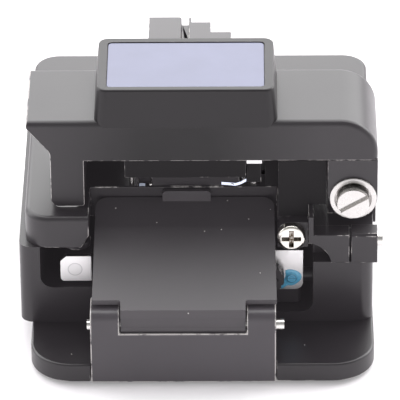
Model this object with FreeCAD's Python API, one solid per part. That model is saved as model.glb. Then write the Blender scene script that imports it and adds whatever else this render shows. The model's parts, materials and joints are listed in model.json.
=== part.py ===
"""Fibre cleaver: a bench tool that scores and snaps a glass fibre lying along Y.

A lid swings up about a pin on the right, a blade carriage slides along X under the
clamped fibre, a guard flap covers the carriage, and rollers at the back pull the
offcut away. Sizes are in millimetres. Places along Y are measured from the front
face of the front bracket and along X from the middle of the whole tool; the export
moves the origin to the middle of the footprint.
"""
import FreeCAD, Part
import math
import os

V = FreeCAD.Vector

# ---------------------------------------------------------------- driving sizes
running_gap = 0.03          # radial clearance of a turning or sliding fit
side_gap = 0.3              # clearance beside a moving face

# base plate and feet
base_left = -34.2
base_right = 34.8
base_front = 0.3
base_inset = 1.4            # how far the base ends before the housing at the back
base_thick = 3.95
base_corner = 8.5
foot_radius = 4.0
foot_height = 1.0
foot_inset = 9.0
foot_edge = 0.4
base_edge = 0.5
base_screw_x = 28.5
base_screw_front = 31.0
base_screw_back = 58.0
base_screw_radius = 1.5
base_screw_head = 3.0
base_screw_sink = 1.5
base_screw_top = 9.5

# lower housing
housing_left = -36.5
housing_top = 21.8
housing_corner = 2.5
pocket_left = -32.3
pocket_right = 22.6
pocket_back = 46.0
pocket_low_floor = 6.2
pocket_high_floor = 12.2
pocket_step_x = -21.5
pocket_corner = 2.6

# deck on the housing
deck_left = -35.25
deck_right = 34.65
deck_front = 15.9
deck_back = 81.7
deck_thick = 7.0
deck_corner = 5.0
deck_edge = 1.1
deck_over = 0.3             # how far the deck stands over the housing, front and back
boss_x = -24.9
boss_y = 19.8
boss_radius = 2.8
boss_drop = 1.3

# fibre line and blade
fibre_x = -3.6
fibre_z = 35.0
blade_y = 34.0
blade_radius = 7.5
blade_thick = 1.0
blade_start_x = 11.6
blade_below_fibre = 0.2
blade_travel = 17.0
hub_radius = 2.0
axle_radius = 0.8
holder_foot_half = 5.5
holder_head_half = 2.2
holder_head_over = 1.9      # above the axle
holder_shoulder = 1.2

# carriage
carriage_left = -1.6
carriage_right = 20.2
carriage_front = 19.2
carriage_back = 42.5
carriage_bottom = 6.6
carriage_top = 19.4
plate_thick = 1.0
rod_radius = 1.5
rod_front_y = 24.5
rod_back_y = 38.2
rod_z = 10.0
rod_seat = 3.5

# lid
lid_front = 20.0
lid_back = 41.7
lid_under = 39.6
lid_depth = 8.85
lid_left = -34.6
lid_right = 35.45
lid_corner = 7.5
lid_edge = 1.2
leg_left = -29.9
leg_right = -23.2
leg_rest_gap = 0.3

# clamp holder under the lid
holder_left = -15.15
holder_right = 9.15
holder_bottom = 35.4
pad_half_width = 5.0
pad_depth = 2.4
pad_gap = 0.12
holder_screw_radius = 1.0
holder_head_radius = 1.9
holder_screw_bite = 2.5
holder_screw_inset = 3.0
holder_screw_y = 31.0
holder_head_height = 2.0
holder_key_depth = 1.2
holder_counterbore = 3.0
lower_pad_thick = 1.2
pad_inset = 0.8

# press block on the lid
cap_left = -20.35
cap_right = 14.75
cap_front = 20.0
cap_back = 41.1
cap_height = 7.45           # above the lid's top
cap_draft = 0.8
cap_corner = 2.0
label_margin_side = 1.8
label_margin_front = 1.45
label_margin_back = 1.8
label_recess = 0.55
label_thick = 0.4

# lid hinge
hinge_x = 30.55
hinge_z = 30.9
hinge_pin_radius = 2.5
hinge_head_radius = 3.2
hinge_head_out = 2.6
ring_radius = 4.73
ring_bore = 3.75
ring_thick = 0.6
pin_slot_half = 0.45
pin_slot_depth = 1.1
pin_slot_angle = 31.0
sleeve_radius = 4.2
knuckle_radius = 4.9
knuckle_front_back = 25.0
tower_front = 25.3
tower_back = 36.2
hinge_floor_top = 24.0

# front bracket and flap
bracket_left = -21.95
bracket_right = 15.0
bracket_top = 11.5
bracket_back = 8.0          # also the back of both ears
bracket_skin = 1.5
ear_width = 5.8
ear_round = 2.2
ear_flat_top = 13.9
ear_gap = 0.25
flap_pin_y = 4.0
flap_pin_z = 11.15
flap_pin_radius = 1.1
flap_pin_out_left = 0.75
flap_pin_out_right = 1.65
flap_slope = 20.0
flap_fold_y = 0.57          # the front edge of the sloping plate
flap_fold_z = 16.8
flap_fold_drop = 1.9
flap_reach = 28.6
flap_thick = 1.0
flap_corner = 2.6
flap_left = -21.6           # at the fold; the plate narrows towards its far edge
flap_right = 15.2
flap_taper = 0.4
notch_back = 2.95
knuckle_flap_radius = 3.2
trough_gap = 0.2
tab_left = -7.7
tab_right = 2.0
tab_height = 2.0
tab_corner = 0.9

# stage blocks that carry the fibre
stage_left = -13.2
stage_right = 7.8
stage_gap = 0.7             # from the closed flap to the stage
stage_blade_gap = 1.0
stage_back = 40.4
vee_half_width = 0.45

# offcut rollers and drawer at the back
collector_left = -11.2
collector_mid = 1.9
collector_right = 6.2
collector_top = 36.0
collector_before = 14.7     # from the collector's front to the deck's back edge
collector_over = 3.1        # past the deck's back edge
groove_width = 1.3
groove_depth = 1.4
roller_before = 4.5         # from the roller axles to the collector's front
roller_radius = 2.4
roller_half_length = 4.0
roller_axle_radius = 0.9
cheek_thick = 1.6
cheek_top = 40.0
cheek_half = 3.6
cheek_corner = 2.6
knob_radius = 3.4
knob_length = 5.0
drawer_half_width = 12.0
drawer_before = 23.7        # from the drawer's front to the deck's back edge
drawer_bottom = 7.0
drawer_top = 19.0
drawer_wall = 1.4
drawer_gap = 0.25
chute_half = 4.0
chute_start = 0.5           # behind the collector's front
chute_length = 10.0

# left end plate and right corner
rail_plate_left = -28.3
rail_plate_right = -22.0
rail_plate_bottom = 12.9
rail_plate_top = 18.8
arm_bottom = 18.1
arm_top = 24.6
side_block_left = 30.2
side_block_back = 19.7
side_block_top = 24.8
hinge_base_left = 21.6
hinge_base_back = 43.0
hinge_front = 15.8
rib_width = 1.0
screw_pad_back = 22.0
screw_pad_front = 18.6
screw_pad_bottom = 20.1
screw_pad_top = 26.0
screw_x = 18.2
screw_z = 23.1
pad_screw_head = 2.9
pad_screw_height = 1.8
pad_screw_shank = 1.25

# carriage front and lid magnet
dial_x = 13.8
dial_z = 14.0
dial_radius = 3.0
dial_thick = 2.2
dial_shaft = 1.2
dial_bore_depth = 4.0
dial_flute = 0.45
height_screw_x = 18.3
height_screw_z = 13.2
height_screw_radius = 0.9
height_screw_depth = 3.0
carriage_plate_reach = 7.0  # left of the dial
carriage_plate_over = 0.4   # right of the block
carriage_plate_top = 19.6
carriage_plate_bottom = 10.3
magnet_x = 10.75
magnet_y = 30.0
post_front = 22.9
magnet_post_bottom = 31.6
magnet_thick = 1.2
magnet_gap = 0.3

# guard over the parked blade, and the lid's rear skirt
guard_left = 13.0
guard_right_gap = 0.45      # left of the hinge knuckle
guard_before_pad = 1.1      # in front of the screw pad's back face
guard_behind_blade = 5.1
guard_wall = 1.2
guard_gap = 0.7             # below the lid
guard_bevel_z = 34.6
guard_bevel_x = 14.7
skirt_thick = 1.5

# anvil over the cut
anvil_half = 2.0
anvil_half_thick = 0.7
anvil_above_fibre = 0.3
anvil_height = 2.1
anvil_roof = lid_under - 0.6

# ---------------------------------------------------------------- sizes that follow
guard_right = hinge_x - knuckle_radius - guard_right_gap
guard_front = screw_pad_back - guard_before_pad
guard_back = blade_y + guard_behind_blade
housing_right = deck_right
housing_front = deck_front + deck_over
housing_back = deck_back - deck_over
base_back = housing_back - base_inset
lid_top = lid_under + lid_depth
cap_top = lid_top + cap_height
screw_seat_z = lid_top - holder_counterbore
collector_front = deck_back - collector_before
collector_back = deck_back + collector_over
roller_y = collector_front - roller_before
chute_front = collector_front + chute_start
chute_back = chute_front + chute_length
drawer_front = deck_back - drawer_before
flap_angle = math.radians(flap_slope)
stage_front = flap_fold_y + flap_reach * math.cos(flap_angle) + stage_gap
deck_bottom = housing_top
deck_top = deck_bottom + deck_thick
blade_z = fibre_z - blade_below_fibre - blade_radius
front_stage_back = blade_y - blade_thick / 2 - stage_blade_gap
rear_stage_front = blade_y + blade_thick / 2 + stage_blade_gap
holder_arm_front = blade_y + blade_thick / 2 + 0.5
holder_arm_thick = 2.2
slot_front = front_stage_back + 0.2
slot_back = holder_arm_front + holder_arm_thick + 0.6
cutout_left = bracket_left - 0.4
cutout_right = bracket_right + 0.4
cutout_back = stage_front - 0.3
neck_left = bracket_left + ear_width + ear_gap
neck_right = bracket_right - ear_width - ear_gap
above_all = cap_top + 5
anvil_left = fibre_x - anvil_half
anvil_right = fibre_x + anvil_half
anvil_front = blade_y - anvil_half_thick
anvil_back = blade_y + anvil_half_thick
anvil_bottom = fibre_z + anvil_above_fibre
anvil_top = anvil_bottom + anvil_height
origin_shift = V(0, -(collector_back) / 2, foot_height)


# ---------------------------------------------------------------- shape helpers
def box(x0, x1, y0, y1, z0, z1):
    """A block between two corners."""
    return Part.makeBox(x1 - x0, y1 - y0, z1 - z0, V(x0, y0, z0))


def rod_x(x0, x1, y, z, radius):
    """A cylinder along X."""
    return Part.makeCylinder(radius, x1 - x0, V(x0, y, z), V(1, 0, 0))


def rod_y(x, y0, y1, z, radius):
    """A cylinder along Y."""
    return Part.makeCylinder(radius, y1 - y0, V(x, y0, z), V(0, 1, 0))


def rod_z_axis(x, y, z0, z1, radius):
    """A cylinder along Z."""
    return Part.makeCylinder(radius, z1 - z0, V(x, y, z0), V(0, 0, 1))


def rounded_plate(x0, x1, y0, y1, z0, z1, radius):
    """A block whose four upright corners are rounded."""
    block = box(x0, x1, y0, y1, z0, z1)
    upright = [e for e in block.Edges if abs(e.Vertexes[0].Z - e.Vertexes[1].Z) > 1e-6]
    return block.makeFillet(radius, upright)


def edges_at(shape, test):
    """Edges whose two ends and middle all pass the test."""
    found = []
    for edge in shape.Edges:
        middle = edge.valueAt((edge.FirstParameter + edge.LastParameter) / 2)
        points = [v.Point for v in edge.Vertexes] + [middle]
        if all(test(p) for p in points):
            found.append(edge)
    return found


def round_top(shape, radius, height):
    """Round every edge that lies in the plane z = height."""
    return shape.makeFillet(radius, edges_at(shape, lambda p: abs(p.z - height) < 1e-4))


def prism_xz(points, y0, y1):
    """Push an outline given as (x, z) points from y0 to y1."""
    corners = [V(x, y0, z) for x, z in points]
    face = Part.Face(Part.makePolygon(corners + corners[:1]))
    return face.extrude(V(0, y1 - y0, 0))


def prism_yz(points, x0, x1):
    """Push an outline given as (y, z) points from x0 to x1."""
    corners = [V(x0, y, z) for y, z in points]
    face = Part.Face(Part.makePolygon(corners + corners[:1]))
    return face.extrude(V(x1 - x0, 0, 0))


def fuse_all(first, *others):
    """One solid from pieces that share faces."""
    shape = first
    for other in others:
        shape = shape.fuse(other)
    return shape.removeSplitter()


def pan_head_y(x, y_seat, z, head_radius, head_height, shank_radius, shank_length):
    """A pan-head screw that points along +Y, with its head in front of y_seat."""
    head = rod_y(x, y_seat - head_height, y_seat, z, head_radius)
    rim = edges_at(head, lambda p: abs(p.y - (y_seat - head_height)) < 1e-6)
    head = head.makeFillet(head_height * 0.4, rim)
    recess = head_radius * 0.68
    arm = head_radius * 0.17
    depth = head_height * 0.55
    front = y_seat - head_height - 0.1
    flat_arm = box(x - recess, x + recess, front, front + depth, z - arm, z + arm)
    tall_arm = box(x - arm, x + arm, front, front + depth, z - recess, z + recess)
    shank = rod_y(x, y_seat, y_seat + shank_length, z, shank_radius)
    return fuse_all(head.cut(flat_arm).cut(tall_arm), shank)


# ---------------------------------------------------------------- fixed structure
def base_plate():
    """The foot plate, with a notch at the front where the bracket drops in."""
    plate = rounded_plate(base_left, base_right, base_front, base_back, 0, base_thick, base_corner)
    plate = round_top(plate, base_edge, base_thick)
    notch = box(bracket_left - 0.1, bracket_right + 0.1, -1, bracket_skin + 0.1, -1, base_thick + 1)
    plate = plate.cut(notch)
    for x, y in foot_places():
        plate = plate.cut(rod_z_axis(x, y, -0.1, foot_height, foot_radius))
    for x, y in base_screw_places():
        plate = plate.cut(base_screw_blank(x, y))
    return plate


def base_screw_places():
    """Where four countersunk screws hold the base to the housing from below."""
    places = []
    for x in (-base_screw_x, base_screw_x):
        for y in (base_screw_front, base_screw_back):
            places.append((x, y))
    return places


def base_screw_blank(x, y):
    """One countersunk screw before its socket is cut."""
    head = Part.makeCone(base_screw_head, base_screw_radius, base_screw_sink, V(x, y, 0))
    shank = rod_z_axis(x, y, base_screw_sink, base_screw_top, base_screw_radius)
    return fuse_all(head, shank)


def base_screws():
    """Four countersunk socket screws, flush with the base's underside."""
    screws = []
    for x, y in base_screw_places():
        key = rod_z_axis(x, y, -1, base_screw_sink * 0.7, base_screw_radius * 0.65)
        screws.append(base_screw_blank(x, y).cut(key))
    return Part.makeCompound(screws)


def foot_places():
    """Where the four rubber feet sit."""
    places = []
    for x in (base_left + foot_inset, base_right - foot_inset):
        for y in (base_front + foot_inset, base_back - foot_inset):
            places.append((x, y))
    return places


def rubber_feet():
    """Four round feet, let into the plate by their own height."""
    feet = []
    for x, y in foot_places():
        foot = rod_z_axis(x, y, -foot_height, foot_height, foot_radius)
        rim = edges_at(foot, lambda p: abs(p.z + foot_height) < 1e-6)
        feet.append(foot.makeFillet(foot_edge, rim))
    return Part.makeCompound(feet)


def front_bracket():
    """The upright front plate with two ears that hold the flap's pin."""
    front = box(bracket_left, bracket_right, 0, bracket_skin, 0, bracket_top)
    foot = box(bracket_left, bracket_right, 0, bracket_back, base_thick, bracket_top)
    body = fuse_all(front, foot)
    trough = rod_x(bracket_left, bracket_right, flap_pin_y, flap_pin_z, knuckle_flap_radius + trough_gap)
    behind = box(bracket_left, bracket_right, flap_pin_y, bracket_back + 1,
                 flap_pin_z - knuckle_flap_radius, bracket_top + 1)
    body = body.cut(trough).cut(behind)
    for left in (bracket_left, bracket_right - ear_width):
        body = body.fuse(ear(left))
    body = body.removeSplitter()
    pin = rod_x(bracket_left - 1, bracket_right + 1, flap_pin_y, flap_pin_z, flap_pin_radius)
    return body.cut(pin)


def ear(left):
    """One hinge ear: an upright block with both top corners rounded."""
    block = box(left, left + ear_width, 0, bracket_back, base_thick, ear_flat_top + ear_round)
    corners = edges_at(block, lambda p: p.z > ear_flat_top + ear_round - 1e-6
                       and (p.y < 1e-6 or p.y > bracket_back - 1e-6))
    return block.makeFillet(ear_round, corners)


def flap_hinge_pin():
    """The steel pin that shows at both ends of the bracket."""
    return rod_x(bracket_left - flap_pin_out_left, bracket_right + flap_pin_out_right,
                 flap_pin_y, flap_pin_z, flap_pin_radius)


def pocket():
    """The space in the housing that the carriage slides in, open to the front and top."""
    front = housing_front - 1
    low = box(pocket_step_x, pocket_right, front, pocket_back, pocket_low_floor, housing_top + 1)
    edge = edges_at(low, lambda p: abs(p.z - pocket_low_floor) < 1e-6 and p.x > pocket_right - 1e-6)
    low = low.makeFillet(pocket_corner, edge)
    high = box(pocket_left, pocket_step_x, front, pocket_back, pocket_high_floor, housing_top + 1)
    edge = edges_at(high, lambda p: abs(p.z - pocket_high_floor) < 1e-6 and p.x < pocket_left + 1e-6)
    high = high.makeFillet(pocket_corner, edge)
    return low.fuse(high)


def main_housing():
    """The lower body: a rounded block with the carriage pocket and the drawer's bay."""
    block = rounded_plate(housing_left, housing_right, housing_front, housing_back,
                          base_thick, housing_top, housing_corner)
    block = block.cut(pocket())
    step = box(pocket_right - 1, housing_right + 1, housing_front - 1, side_block_back,
               arm_bottom, housing_top + 1)
    block = block.cut(step)
    for y in (rod_front_y, rod_back_y):
        block = block.cut(rod_x(pocket_step_x - rod_seat, pocket_right + rod_seat, y, rod_z, rod_radius))
    bay = box(fibre_x - drawer_half_width - drawer_gap, fibre_x + drawer_half_width + drawer_gap,
              drawer_front - drawer_gap, housing_back + 1,
              drawer_bottom - drawer_gap, drawer_top + drawer_gap)
    block = block.cut(bay)
    chute = box(fibre_x - chute_half, fibre_x + chute_half, chute_front, chute_back,
                drawer_top, housing_top + 1)
    block = block.cut(chute)
    for x, y in base_screw_places():
        block = block.cut(rod_z_axis(x, y, base_thick - 1, base_screw_top, base_screw_radius))
    seat = box(rail_plate_left + 1, rail_plate_right, housing_front + 2.3, housing_front + 6,
               pocket_high_floor, rail_plate_top)
    return fuse_all(block, seat)


def deck():
    """The top plate: cut out for the flap, the blade slot and the hinge corner."""
    plate = rounded_plate(deck_left, deck_right, deck_front, deck_back, deck_bottom, deck_top,
                          deck_corner)
    plate = round_top(plate, deck_edge, deck_top)
    plate = plate.cut(box(cutout_left, cutout_right, 0, cutout_back, 0, above_all))
    plate = plate.cut(box(cutout_right - 1, deck_right + 1, 0, screw_pad_back, 0, above_all))
    plate = plate.cut(box(hinge_base_left, deck_right + 1, 0, hinge_base_back, 0, above_all))
    slot_left = blade_start_x - blade_travel - blade_radius - 1
    slot_right = blade_start_x + blade_radius + 1
    plate = plate.cut(box(slot_left, slot_right, slot_front, slot_back, 0, above_all))
    chute = box(fibre_x - chute_half, fibre_x + chute_half, chute_front, chute_back, 0, above_all)
    plate = plate.cut(chute)
    chamfer = prism_xz([(cutout_left - 1.6, deck_bottom - 0.1), (cutout_left + 0.1, deck_bottom - 0.1),
                        (cutout_left + 0.1, deck_bottom + 3.0)], deck_front - 1, cutout_back)
    plate = plate.cut(chamfer)
    boss = rod_z_axis(boss_x, boss_y, deck_bottom - boss_drop, deck_bottom, boss_radius)
    return fuse_all(plate, boss)


def rail_plate():
    """The steel end plate on the left, held by one flush rivet."""
    front = housing_front + 1.3
    plate = box(rail_plate_left, rail_plate_right, front, front + plate_thick,
                rail_plate_bottom, rail_plate_top)
    corner = edges_at(plate, lambda p: p.x < rail_plate_left + 1e-6 and p.z < rail_plate_bottom + 1e-6)
    plate = plate.makeFillet(0.8, corner)
    corner = edges_at(plate, lambda p: p.x < rail_plate_left + 1e-6 and p.z > rail_plate_top - 1e-6)
    return plate.makeChamfer(1.2, corner)


def guide_rods():
    """Two round rails that the carriage runs on."""
    rods = []
    for y in (rod_front_y, rod_back_y):
        rods.append(rod_x(pocket_step_x - rod_seat, pocket_right + rod_seat, y, rod_z, rod_radius))
    return Part.makeCompound(rods)


def hinge_base():
    """The cast corner piece: front arm with a curved underside, floor and bearing tower."""
    arm = box(hinge_base_left, side_block_left - 0.4, hinge_front, side_block_back, arm_bottom, arm_top)
    curve = rod_y(hinge_base_left - 0.6, hinge_front - 1, side_block_back + 1, arm_bottom - 0.6, 5.2)
    arm = arm.cut(curve)
    rib = box(hinge_base_left, hinge_base_left + rib_width, hinge_front, tower_front,
              arm_top - 1.5, deck_top)
    floor = box(hinge_base_left, deck_right, side_block_back, hinge_base_back, housing_top, hinge_floor_top)
    tower = box(hinge_x - knuckle_radius, hinge_x + knuckle_radius - 0.15, tower_front, tower_back,
                housing_top, hinge_z)
    crown = rod_y(hinge_x, tower_front, tower_back, hinge_z, knuckle_radius)
    crown = crown.common(box(hinge_x - knuckle_radius, hinge_x + knuckle_radius - 0.15, tower_front,
                             tower_back, hinge_z - 1, hinge_z + knuckle_radius + 1))
    tower = fuse_all(tower, crown)
    shape = fuse_all(arm, rib, floor, tower)
    bore = rod_y(hinge_x, tower_front - 1, tower_back + 1, hinge_z, hinge_pin_radius)
    return shape.cut(bore)


def side_block():
    """The square block beside the arm, with a bevelled top edge."""
    block = box(side_block_left, lid_right, hinge_front, side_block_back, arm_bottom, side_block_top)
    top = edges_at(block, lambda p: p.z > side_block_top - 1e-6 and p.y < hinge_front + 1e-6)
    block = block.makeChamfer(0.5, top)
    return block.cut(side_pin())


def side_pin():
    """A short steel dowel whose end shows on the right."""
    return rod_x(lid_right - 2.5, -housing_left, hinge_front + 1.9, side_block_top - 2.3, 1.35)


def screw_pad():
    """The raised pad behind the cross-head screw, with an arched top left corner."""
    pad = box(cutout_right, hinge_base_left, screw_pad_front, screw_pad_back,
              screw_pad_bottom, screw_pad_top)
    corner = edges_at(pad, lambda p: p.x < cutout_right + 1e-6 and p.z > screw_pad_top - 1e-6)
    pad = pad.makeFillet(2.6, corner)
    return pad.cut(rod_y(screw_x, screw_pad_front - 1, screw_pad_back - 0.5, screw_z, pad_screw_shank))


def pad_screw():
    """The cross-head screw beside the flap."""
    depth = screw_pad_back - 0.5 - screw_pad_front
    return pan_head_y(screw_x, screw_pad_front, screw_z, pad_screw_head, pad_screw_height,
                      pad_screw_shank, depth)


# ---------------------------------------------------------------- fibre stage
def front_stage():
    """The front clamp block on the deck, with a vee for the fibre and a pad recess."""
    block = box(stage_left, stage_right, stage_front, front_stage_back, deck_top, fibre_z)
    notch = box(stage_left + 0.5, stage_left + 3.3, stage_front - 1, stage_front + 1.2,
                deck_top - 1, fibre_z - 1.9)
    room = pad_room(stage_front, front_stage_back, fibre_z - lower_pad_thick, fibre_z + 1)
    return block.cut(notch).cut(room)


def pad_room(y0, y1, z0, z1):
    """The block of space that one clamp pad takes, in line with the fibre."""
    return box(fibre_x - pad_half_width, fibre_x + pad_half_width, y0 + pad_inset, y1 - pad_inset, z0, z1)


def lower_pad(y0, y1):
    """A lower clamp pad with a fine vee along the fibre."""
    pad = pad_room(y0, y1, fibre_z - lower_pad_thick, fibre_z)
    vee = prism_xz([(fibre_x - vee_half_width, fibre_z + 0.01), (fibre_x + vee_half_width, fibre_z + 0.01),
                    (fibre_x, fibre_z - vee_half_width)], y0, y1)
    return pad.cut(vee)


def rear_stage():
    """The rear clamp block, undercut so that the blade holder passes below it."""
    top = box(stage_left, stage_right, rear_stage_front, stage_back, deck_top + 1.8, fibre_z)
    foot = box(stage_left, stage_right, slot_back + 0.2, stage_back, deck_top, deck_top + 1.8)
    room = pad_room(rear_stage_front, stage_back, fibre_z - lower_pad_thick, fibre_z + 1)
    return fuse_all(top, foot).cut(room)


def stage_pins():
    """Two steel location pins beside the front stage."""
    pins = []
    for x, y in ((stage_left - 0.7, stage_front + 1.0), (stage_right + 0.7, stage_front + 1.0)):
        pins.append(rod_z_axis(x, y, deck_top, fibre_z - 0.3, 0.5))
    return Part.makeCompound(pins)


def keeper():
    """The steel button on the deck that the lid's magnet meets."""
    button = rod_z_axis(magnet_x, magnet_y, deck_top, magnet_post_bottom - magnet_gap, 1.5)
    rim = edges_at(button, lambda p: p.z > magnet_post_bottom - magnet_gap - 1e-6)
    return button.makeFillet(0.3, rim)


def blade_guard():
    """The hood over the parked blade: closed in front, open to the left and below."""
    top = lid_under - guard_gap
    outline = [(guard_left, deck_top), (guard_right, deck_top), (guard_right, top),
               (guard_bevel_x, top), (guard_left, guard_bevel_z)]
    hood = prism_xz(outline, stage_front, guard_back)
    room = [(guard_left - 1, deck_top - 1), (guard_right - guard_wall, deck_top - 1),
            (guard_right - guard_wall, top - guard_wall), (guard_bevel_x, top - guard_wall),
            (guard_bevel_x, top + 1), (guard_left - 1, top + 1)]
    hood = hood.cut(prism_xz(room, stage_front + guard_wall, guard_back - guard_wall))
    face_left = cutout_right + 0.2
    face = box(face_left, guard_right, guard_front, guard_front + guard_wall, deck_top, top)
    roof = box(face_left, guard_right, guard_front, stage_front + 1, top - guard_wall, top)
    lip = box(cutout_right + 0.2, hinge_base_left - 0.1, guard_front, screw_pad_back,
              screw_pad_top, deck_top)
    return fuse_all(hood, face, roof, lip)


# ---------------------------------------------------------------- carriage and blade
def carriage_block():
    """The sliding block, bored for both guide rods, with a recess under the blade."""
    block = box(carriage_left, carriage_right, carriage_front, carriage_back, carriage_bottom, carriage_top)
    upright = [e for e in block.Edges if abs(e.Vertexes[0].Z - e.Vertexes[1].Z) > 1e-6]
    block = block.makeFillet(1.0, upright)
    for y in (rod_front_y, rod_back_y):
        block = block.cut(rod_x(carriage_left - 1, carriage_right + 1, y, rod_z, rod_radius + running_gap))
    relief = box(blade_start_x - blade_radius - 0.5, blade_start_x + blade_radius + 0.5,
                 blade_y - 1.2, blade_y + 0.9, carriage_top - 1.5, carriage_top + 1)
    block = block.cut(relief)
    front = carriage_front - 1
    block = block.cut(rod_y(dial_x, front, carriage_front + dial_bore_depth, dial_z, dial_shaft))
    depth = carriage_front + height_screw_depth
    return block.cut(rod_y(height_screw_x, front, depth, height_screw_z, height_screw_radius))


def carriage_plate():
    """The bright steel plate on the carriage's front."""
    front = carriage_front - plate_thick
    right = carriage_right + carriage_plate_over
    plate = box(dial_x - carriage_plate_reach, right, front, carriage_front, carriage_plate_bottom,
                carriage_plate_top)
    corner = edges_at(plate, lambda p: p.x > right - 1e-6 and p.z < carriage_plate_bottom + 1e-6)
    plate = plate.makeFillet(1.6, corner)
    through = (front - 1, carriage_front + 1)
    plate = plate.cut(rod_y(dial_x, *through, dial_z, dial_shaft + running_gap))
    return plate.cut(rod_y(height_screw_x, *through, height_screw_z, height_screw_radius))


def height_dial():
    """The round black dial that sets the blade height, with a fluted rim."""
    front = carriage_front - plate_thick
    face = front - 0.1 - dial_thick
    dial = rod_y(dial_x, face, front - 0.1, dial_z, dial_radius)
    flute_circle = dial_radius + 0.2
    flutes = 12
    for step in range(flutes):
        angle = 2 * math.pi * step / flutes
        x = dial_x + flute_circle * math.cos(angle)
        z = dial_z + flute_circle * math.sin(angle)
        dial = dial.cut(rod_y(x, face - 1, front, z, dial_flute))
    slot_half = dial_radius * 0.6
    slot = box(dial_x - slot_half, dial_x + slot_half, face - 1, face + 0.6, dial_z - 0.3, dial_z + 0.3)
    shaft_end = carriage_front + dial_bore_depth - 0.5
    shaft = rod_y(dial_x, front - 0.2, shaft_end, dial_z, dial_shaft - running_gap)
    return fuse_all(dial.cut(slot), shaft)


def height_screw():
    """The small locking screw beside the dial."""
    front = carriage_front - plate_thick
    head = rod_y(height_screw_x, front - 0.5, front, height_screw_z, height_screw_radius)
    slot = box(height_screw_x - 1, height_screw_x + 1, front - 1, front - 0.25,
               height_screw_z - 0.12, height_screw_z + 0.12)
    depth = carriage_front + height_screw_depth
    shank = rod_y(height_screw_x, front, depth, height_screw_z, height_screw_radius)
    return fuse_all(head, shank).cut(slot)


def blade_holder():
    """The tapered arm that lifts the blade through the deck slot."""
    shoulder_z = blade_z + holder_shoulder
    head_z = blade_z + holder_head_over
    half = [(holder_foot_half, carriage_top), (holder_head_half, shoulder_z), (holder_shoulder, head_z)]
    outline = [(blade_start_x + x, z) for x, z in half]
    outline += [(blade_start_x - x, z) for x, z in reversed(half)]
    arm = prism_xz(outline, holder_arm_front, holder_arm_front + holder_arm_thick)
    back = holder_arm_front + holder_arm_thick + 1
    bore = rod_y(blade_start_x, holder_arm_front - 1, back, blade_z, axle_radius)
    return arm.cut(bore)


def blade_axle():
    """The shouldered axle screw that carries the blade."""
    shank_front = blade_y - blade_thick / 2 - 0.35
    shank = rod_y(blade_start_x, shank_front, holder_arm_front + holder_arm_thick, blade_z, axle_radius)
    head = rod_y(blade_start_x, shank_front - 0.35, shank_front, blade_z, hub_radius * 0.8)
    slot = box(blade_start_x - 2, blade_start_x + 2, shank_front - 1, shank_front - 0.15,
               blade_z - 0.15, blade_z + 0.15)
    return fuse_all(shank, head.cut(slot))


def blade_disc():
    """The hard round blade: a disc ground to a sharp rim from both sides."""
    half = blade_thick / 2
    profile = [(axle_radius + running_gap, blade_y - half), (blade_radius - 1.0, blade_y - half),
               (blade_radius, blade_y), (blade_radius - 1.0, blade_y + half),
               (axle_radius + running_gap, blade_y + half)]
    corners = [V(blade_start_x + r, y, blade_z) for r, y in profile]
    face = Part.Face(Part.makePolygon(corners + corners[:1]))
    return face.revolve(V(blade_start_x, 0, blade_z), V(0, 1, 0), 360)


# ---------------------------------------------------------------- flap
def flap():
    """The guard flap: a sloping plate on a round knuckle, with an upturned tab."""
    run = V(0, math.cos(flap_angle), math.sin(flap_angle))
    up = V(0, -math.sin(flap_angle), math.cos(flap_angle))
    start = V(0, flap_fold_y, flap_fold_z)
    end = start + run * flap_reach
    plate = flap_plate(start, end, up)
    for x0, x1 in ((flap_left - 1, neck_left), (neck_right, flap_right + 1)):
        room = box(x0, x1, -5, notch_back, 0, above_all)
        inner = edges_at(room, lambda p: p.y > notch_back - 1e-6
                         and abs(p.x - (neck_left if x1 == neck_left else neck_right)) < 1e-6)
        plate = plate.cut(room.makeFillet(0.6, inner))
    knuckle = rod_x(neck_left, neck_right, flap_pin_y, flap_pin_z, knuckle_flap_radius)
    step_y = flap_fold_y + 0.3
    step_z = flap_fold_z - flap_fold_drop
    back = start + run * 5.0 - up * flap_thick
    web = prism_yz([(start.y, start.z), (back.y, back.z),
                    (flap_pin_y + knuckle_flap_radius * 0.95, flap_pin_z + 0.6),
                    (flap_pin_y - knuckle_flap_radius * 0.92, flap_pin_z + 1.2),
                    (step_y, step_z), (flap_fold_y, step_z)], neck_left, neck_right)
    tab = box(tab_left, tab_right, end.y - flap_thick, end.y, end.z - flap_thick, end.z + tab_height)
    upright = edges_at(tab, lambda p: p.z > end.z + tab_height - 1e-6
                       and (abs(p.x - tab_left) < 1e-6 or abs(p.x - tab_right) < 1e-6))
    tab = tab.makeFillet(tab_corner, upright)
    shape = fuse_all(plate, knuckle, web, tab)
    bore = rod_x(neck_left - 1, neck_right + 1, flap_pin_y, flap_pin_z, flap_pin_radius + running_gap)
    return shape.cut(bore)


def flap_plate(start, end, up):
    """The flap's plate: it narrows a little and has round far corners."""
    near = [V(flap_left, start.y, start.z), V(flap_right, start.y, start.z)]
    far = [V(flap_right - flap_taper, end.y, end.z), V(flap_left + flap_taper, end.y, end.z)]
    corners = near + far
    face = Part.Face(Part.makePolygon(corners + corners[:1]))
    plate = face.extrude(up * -flap_thick)
    run = (end - start).normalize()
    edges = edges_at(plate, lambda p: (p - end).dot(run) > -1e-4
                     and (p.x < flap_left + flap_taper + 1e-4 or p.x > flap_right - flap_taper - 1e-4))
    return plate.makeFillet(flap_corner, edges)


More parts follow.
